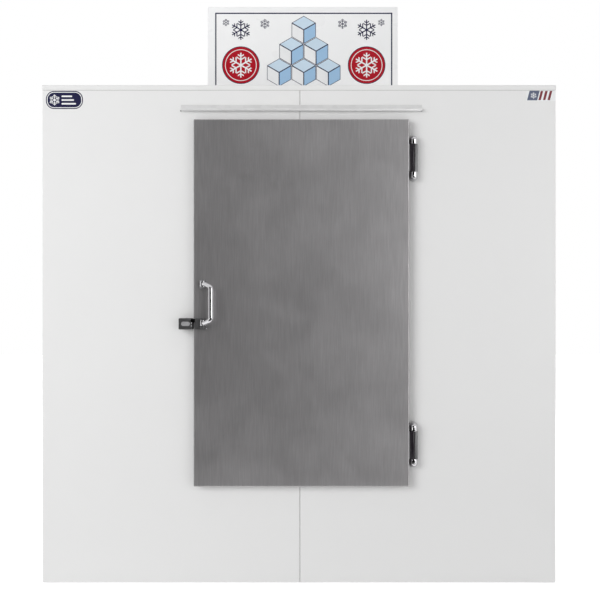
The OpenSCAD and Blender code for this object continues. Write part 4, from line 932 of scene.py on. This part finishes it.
def scattered(name, mesh, places, body, material):
    # copies of one small mesh joined as a single piece; each place is (point, outward direction)
    work = bmesh.new()
    for k, (point, outward) in enumerate(places):
        turn = Vector((0, 0, 1)).rotation_difference(Vector(outward)).to_matrix().to_4x4()
        spin = Matrix.Rotation(k * fasteners["spin"], 4, "Z")
        before = len(work.verts)
        work.from_mesh(mesh)
        work.verts.ensure_lookup_table()
        bmesh.ops.transform(work, matrix=Matrix.Translation(point) @ turn @ spin, verts=work.verts[before:])
    out = bpy.data.meshes.new(name)
    work.to_mesh(out)
    work.free()
    return addPiece(name, smoothOver(out, 35), body, material)


def buildFasteners():
    f = fasteners
    screw = headMesh("smallScrew", f["screw"], True)
    rivet = headMesh("rivetHead", f["rivet"], False)
    front = (0, -1, 0)
    row = lambda start, step, count: [start + step * k for k in range(count)]
    scattered("railScrews", rivet, [((x, *f["railYZ"]), front) for x in f["railX"]], "cabinet",
        finishes["dark_steel"])
    scattered("keeperScrews", screw, [((*f["keeperXY"], z), front) for z in f["keeperZ"]], "cabinet",
        brightScrew)
    scattered("hingeScrews", screw, [((hinge["x"], hinge["front"], middle + way * hinge["screwUp"]), front)
        for middle in hinge["middles"] for way in (-1, 1)], "cabinet", brightScrew)
    places = [((side * f["sideX"], y, z), (side, 0, 0)) for side in (-1, 1) for y in f["sideY"]
        for z in row(*f["sideRow"])]
    places += [((x, *f["backYZ"]), (0, 1, 0)) for x in row(*f["backRow"])]
    places += [((x, *f["roofYZ"]), (0, 0, 1)) for x in row(*f["roofRow"])]
    scattered("sideRivets", rivet, places, "cabinet", railFinish)


buildFasteners()
print("fasteners: done")

# floor, light and background
studio = {"floorSize": 40.0, "floorColor": (0.86, 0.86, 0.86), "floorGlow": 0.74, "worldStrength": 0.42}
lamps = {"keyLight": {"place": (-3.9, -6.2, 2.6), "aim": (-0.3, -0.6, 1.0), "size": (3.6, 3.4), "power": 207},
    "fillLight": {"place": (3.4, -5.8, 1.5), "aim": (0.3, -0.6, 0.8), "size": (3.6, 2.4), "power": 34},
    "backLight": {"place": (0.8, 6.4, 3.4), "aim": (0, 0.8, 1.1), "size": (4.5, 3.5), "power": 150},
    "leftLight": {"place": (-7.2, 1.4, 2.6), "aim": (-1.1, 0.1, 1.0), "size": (4.0, 3.0), "power": 75},
    "rightLight": {"place": (7.2, 1.4, 2.6), "aim": (1.1, 0.1, 1.0), "size": (4.0, 3.0), "power": 95}}
cards = {"darkCard": {"centre": (-3.2, -7.5, 2.4), "size": (13.4, 7.0), "tilt": 0, "glow": 0.0},
    "brightCard": {"centre": (4.2, -7.3, 2.0), "size": (2.4, 3.6), "tilt": 0, "glow": 7.5},
    "lowCard": {"centre": (-0.6, -4.4, 0.03), "size": (5.6, 5.6), "tilt": 90, "glow": 0.0}}


def seenWhite(tree):
    # 1 where the camera, a reflection or a clear part sees the surface, 0 for the light it gives
    paths = put(tree, "LightPath").outputs
    return calc(tree, "MAXIMUM", calc(tree, "MAXIMUM", paths["Is Camera Ray"], paths["Is Glossy Ray"]),
        paths["Is Transmission Ray"])


def buildFloor():
    mesh = bpy.data.meshes.new("floor")
    half = studio["floorSize"] / 2
    mesh.from_pydata([(-half, -half, 0), (half, -half, 0), (half, half, 0), (-half, half, 0)], [],
        [(0, 1, 2, 3)])
    floor = bpy.data.objects.new("floor", mesh)
    scene.collection.objects.link(floor)
    material = bpy.data.materials.new("floorWhite")
    material.use_nodes = True
    tree = material.node_tree
    tree.nodes.clear()
    matt = put(tree, "BsdfDiffuse", {"Color": studio["floorColor"]})
    strength = calc(tree, "MULTIPLY", seenWhite(tree), studio["floorGlow"])
    glow = put(tree, "Emission", {"Color": (1.0, 1.0, 1.0), "Strength": strength})
    both = put(tree, "AddShader", {0: matt.outputs[0], 1: glow.outputs[0]})
    put(tree, "OutputMaterial", {"Surface": both.outputs[0]})
    mesh.materials.append(material)


def buildWorld():
    world = bpy.data.worlds.new("studio")
    scene.world = world
    world.use_nodes = True
    tree = world.node_tree
    tree.nodes.clear()
    strength = ranged(tree, seenWhite(tree), 0.0, 1.0, studio["worldStrength"], 1.0)
    glow = put(tree, "Background", {"Color": (1.0, 1.0, 1.0), "Strength": strength})
    put(tree, "OutputWorld", {"Surface": glow.outputs[0]})


def addLight(name, place, aim, size, power):
    data = bpy.data.lights.new(name, "AREA")
    data.shape = "RECTANGLE"
    data.size, data.size_y = size
    data.energy = power
    light = bpy.data.objects.new(name, data)
    light.location = place
    light.rotation_euler = (Vector(aim) - Vector(place)).to_track_quat("-Z", "Y").to_euler()
    light.visible_glossy = False
    light.visible_camera = False
    scene.collection.objects.link(light)


def addCard(name, centre, size, tilt, glow):
    # a card that only reflections see
    mesh = bpy.data.meshes.new(name)
    w, h = size[0] / 2, size[1] / 2
    mesh.from_pydata([(-w, 0, -h), (w, 0, -h), (w, 0, h), (-w, 0, h)], [], [(0, 1, 2, 3)])
    card = bpy.data.objects.new(name, mesh)
    card.location = centre
    card.rotation_euler = (math.radians(tilt), 0, 0)
    scene.collection.objects.link(card)
    material = bpy.data.materials.new(name)
    material.use_nodes = True
    shader = material.node_tree.nodes["Principled BSDF"]
    shader.inputs["Base Color"].default_value = (0.01, 0.01, 0.01, 1)
    shader.inputs["Roughness"].default_value = 1.0
    shader.inputs["Specular IOR Level"].default_value = 0.0
    shader.inputs["Emission Color"].default_value = (1, 1, 1, 1)
    shader.inputs["Emission Strength"].default_value = glow
    mesh.materials.append(material)
    card.visible_camera = card.visible_diffuse = card.visible_shadow = card.visible_transmission = False


buildFloor()
buildWorld()
for name, lamp in lamps.items():
    addLight(name, lamp["place"], lamp["aim"], lamp["size"], lamp["power"])
for name, card in cards.items():
    addCard(name, card["centre"], card["size"], card["tilt"], card["glow"])
print("studio: done")
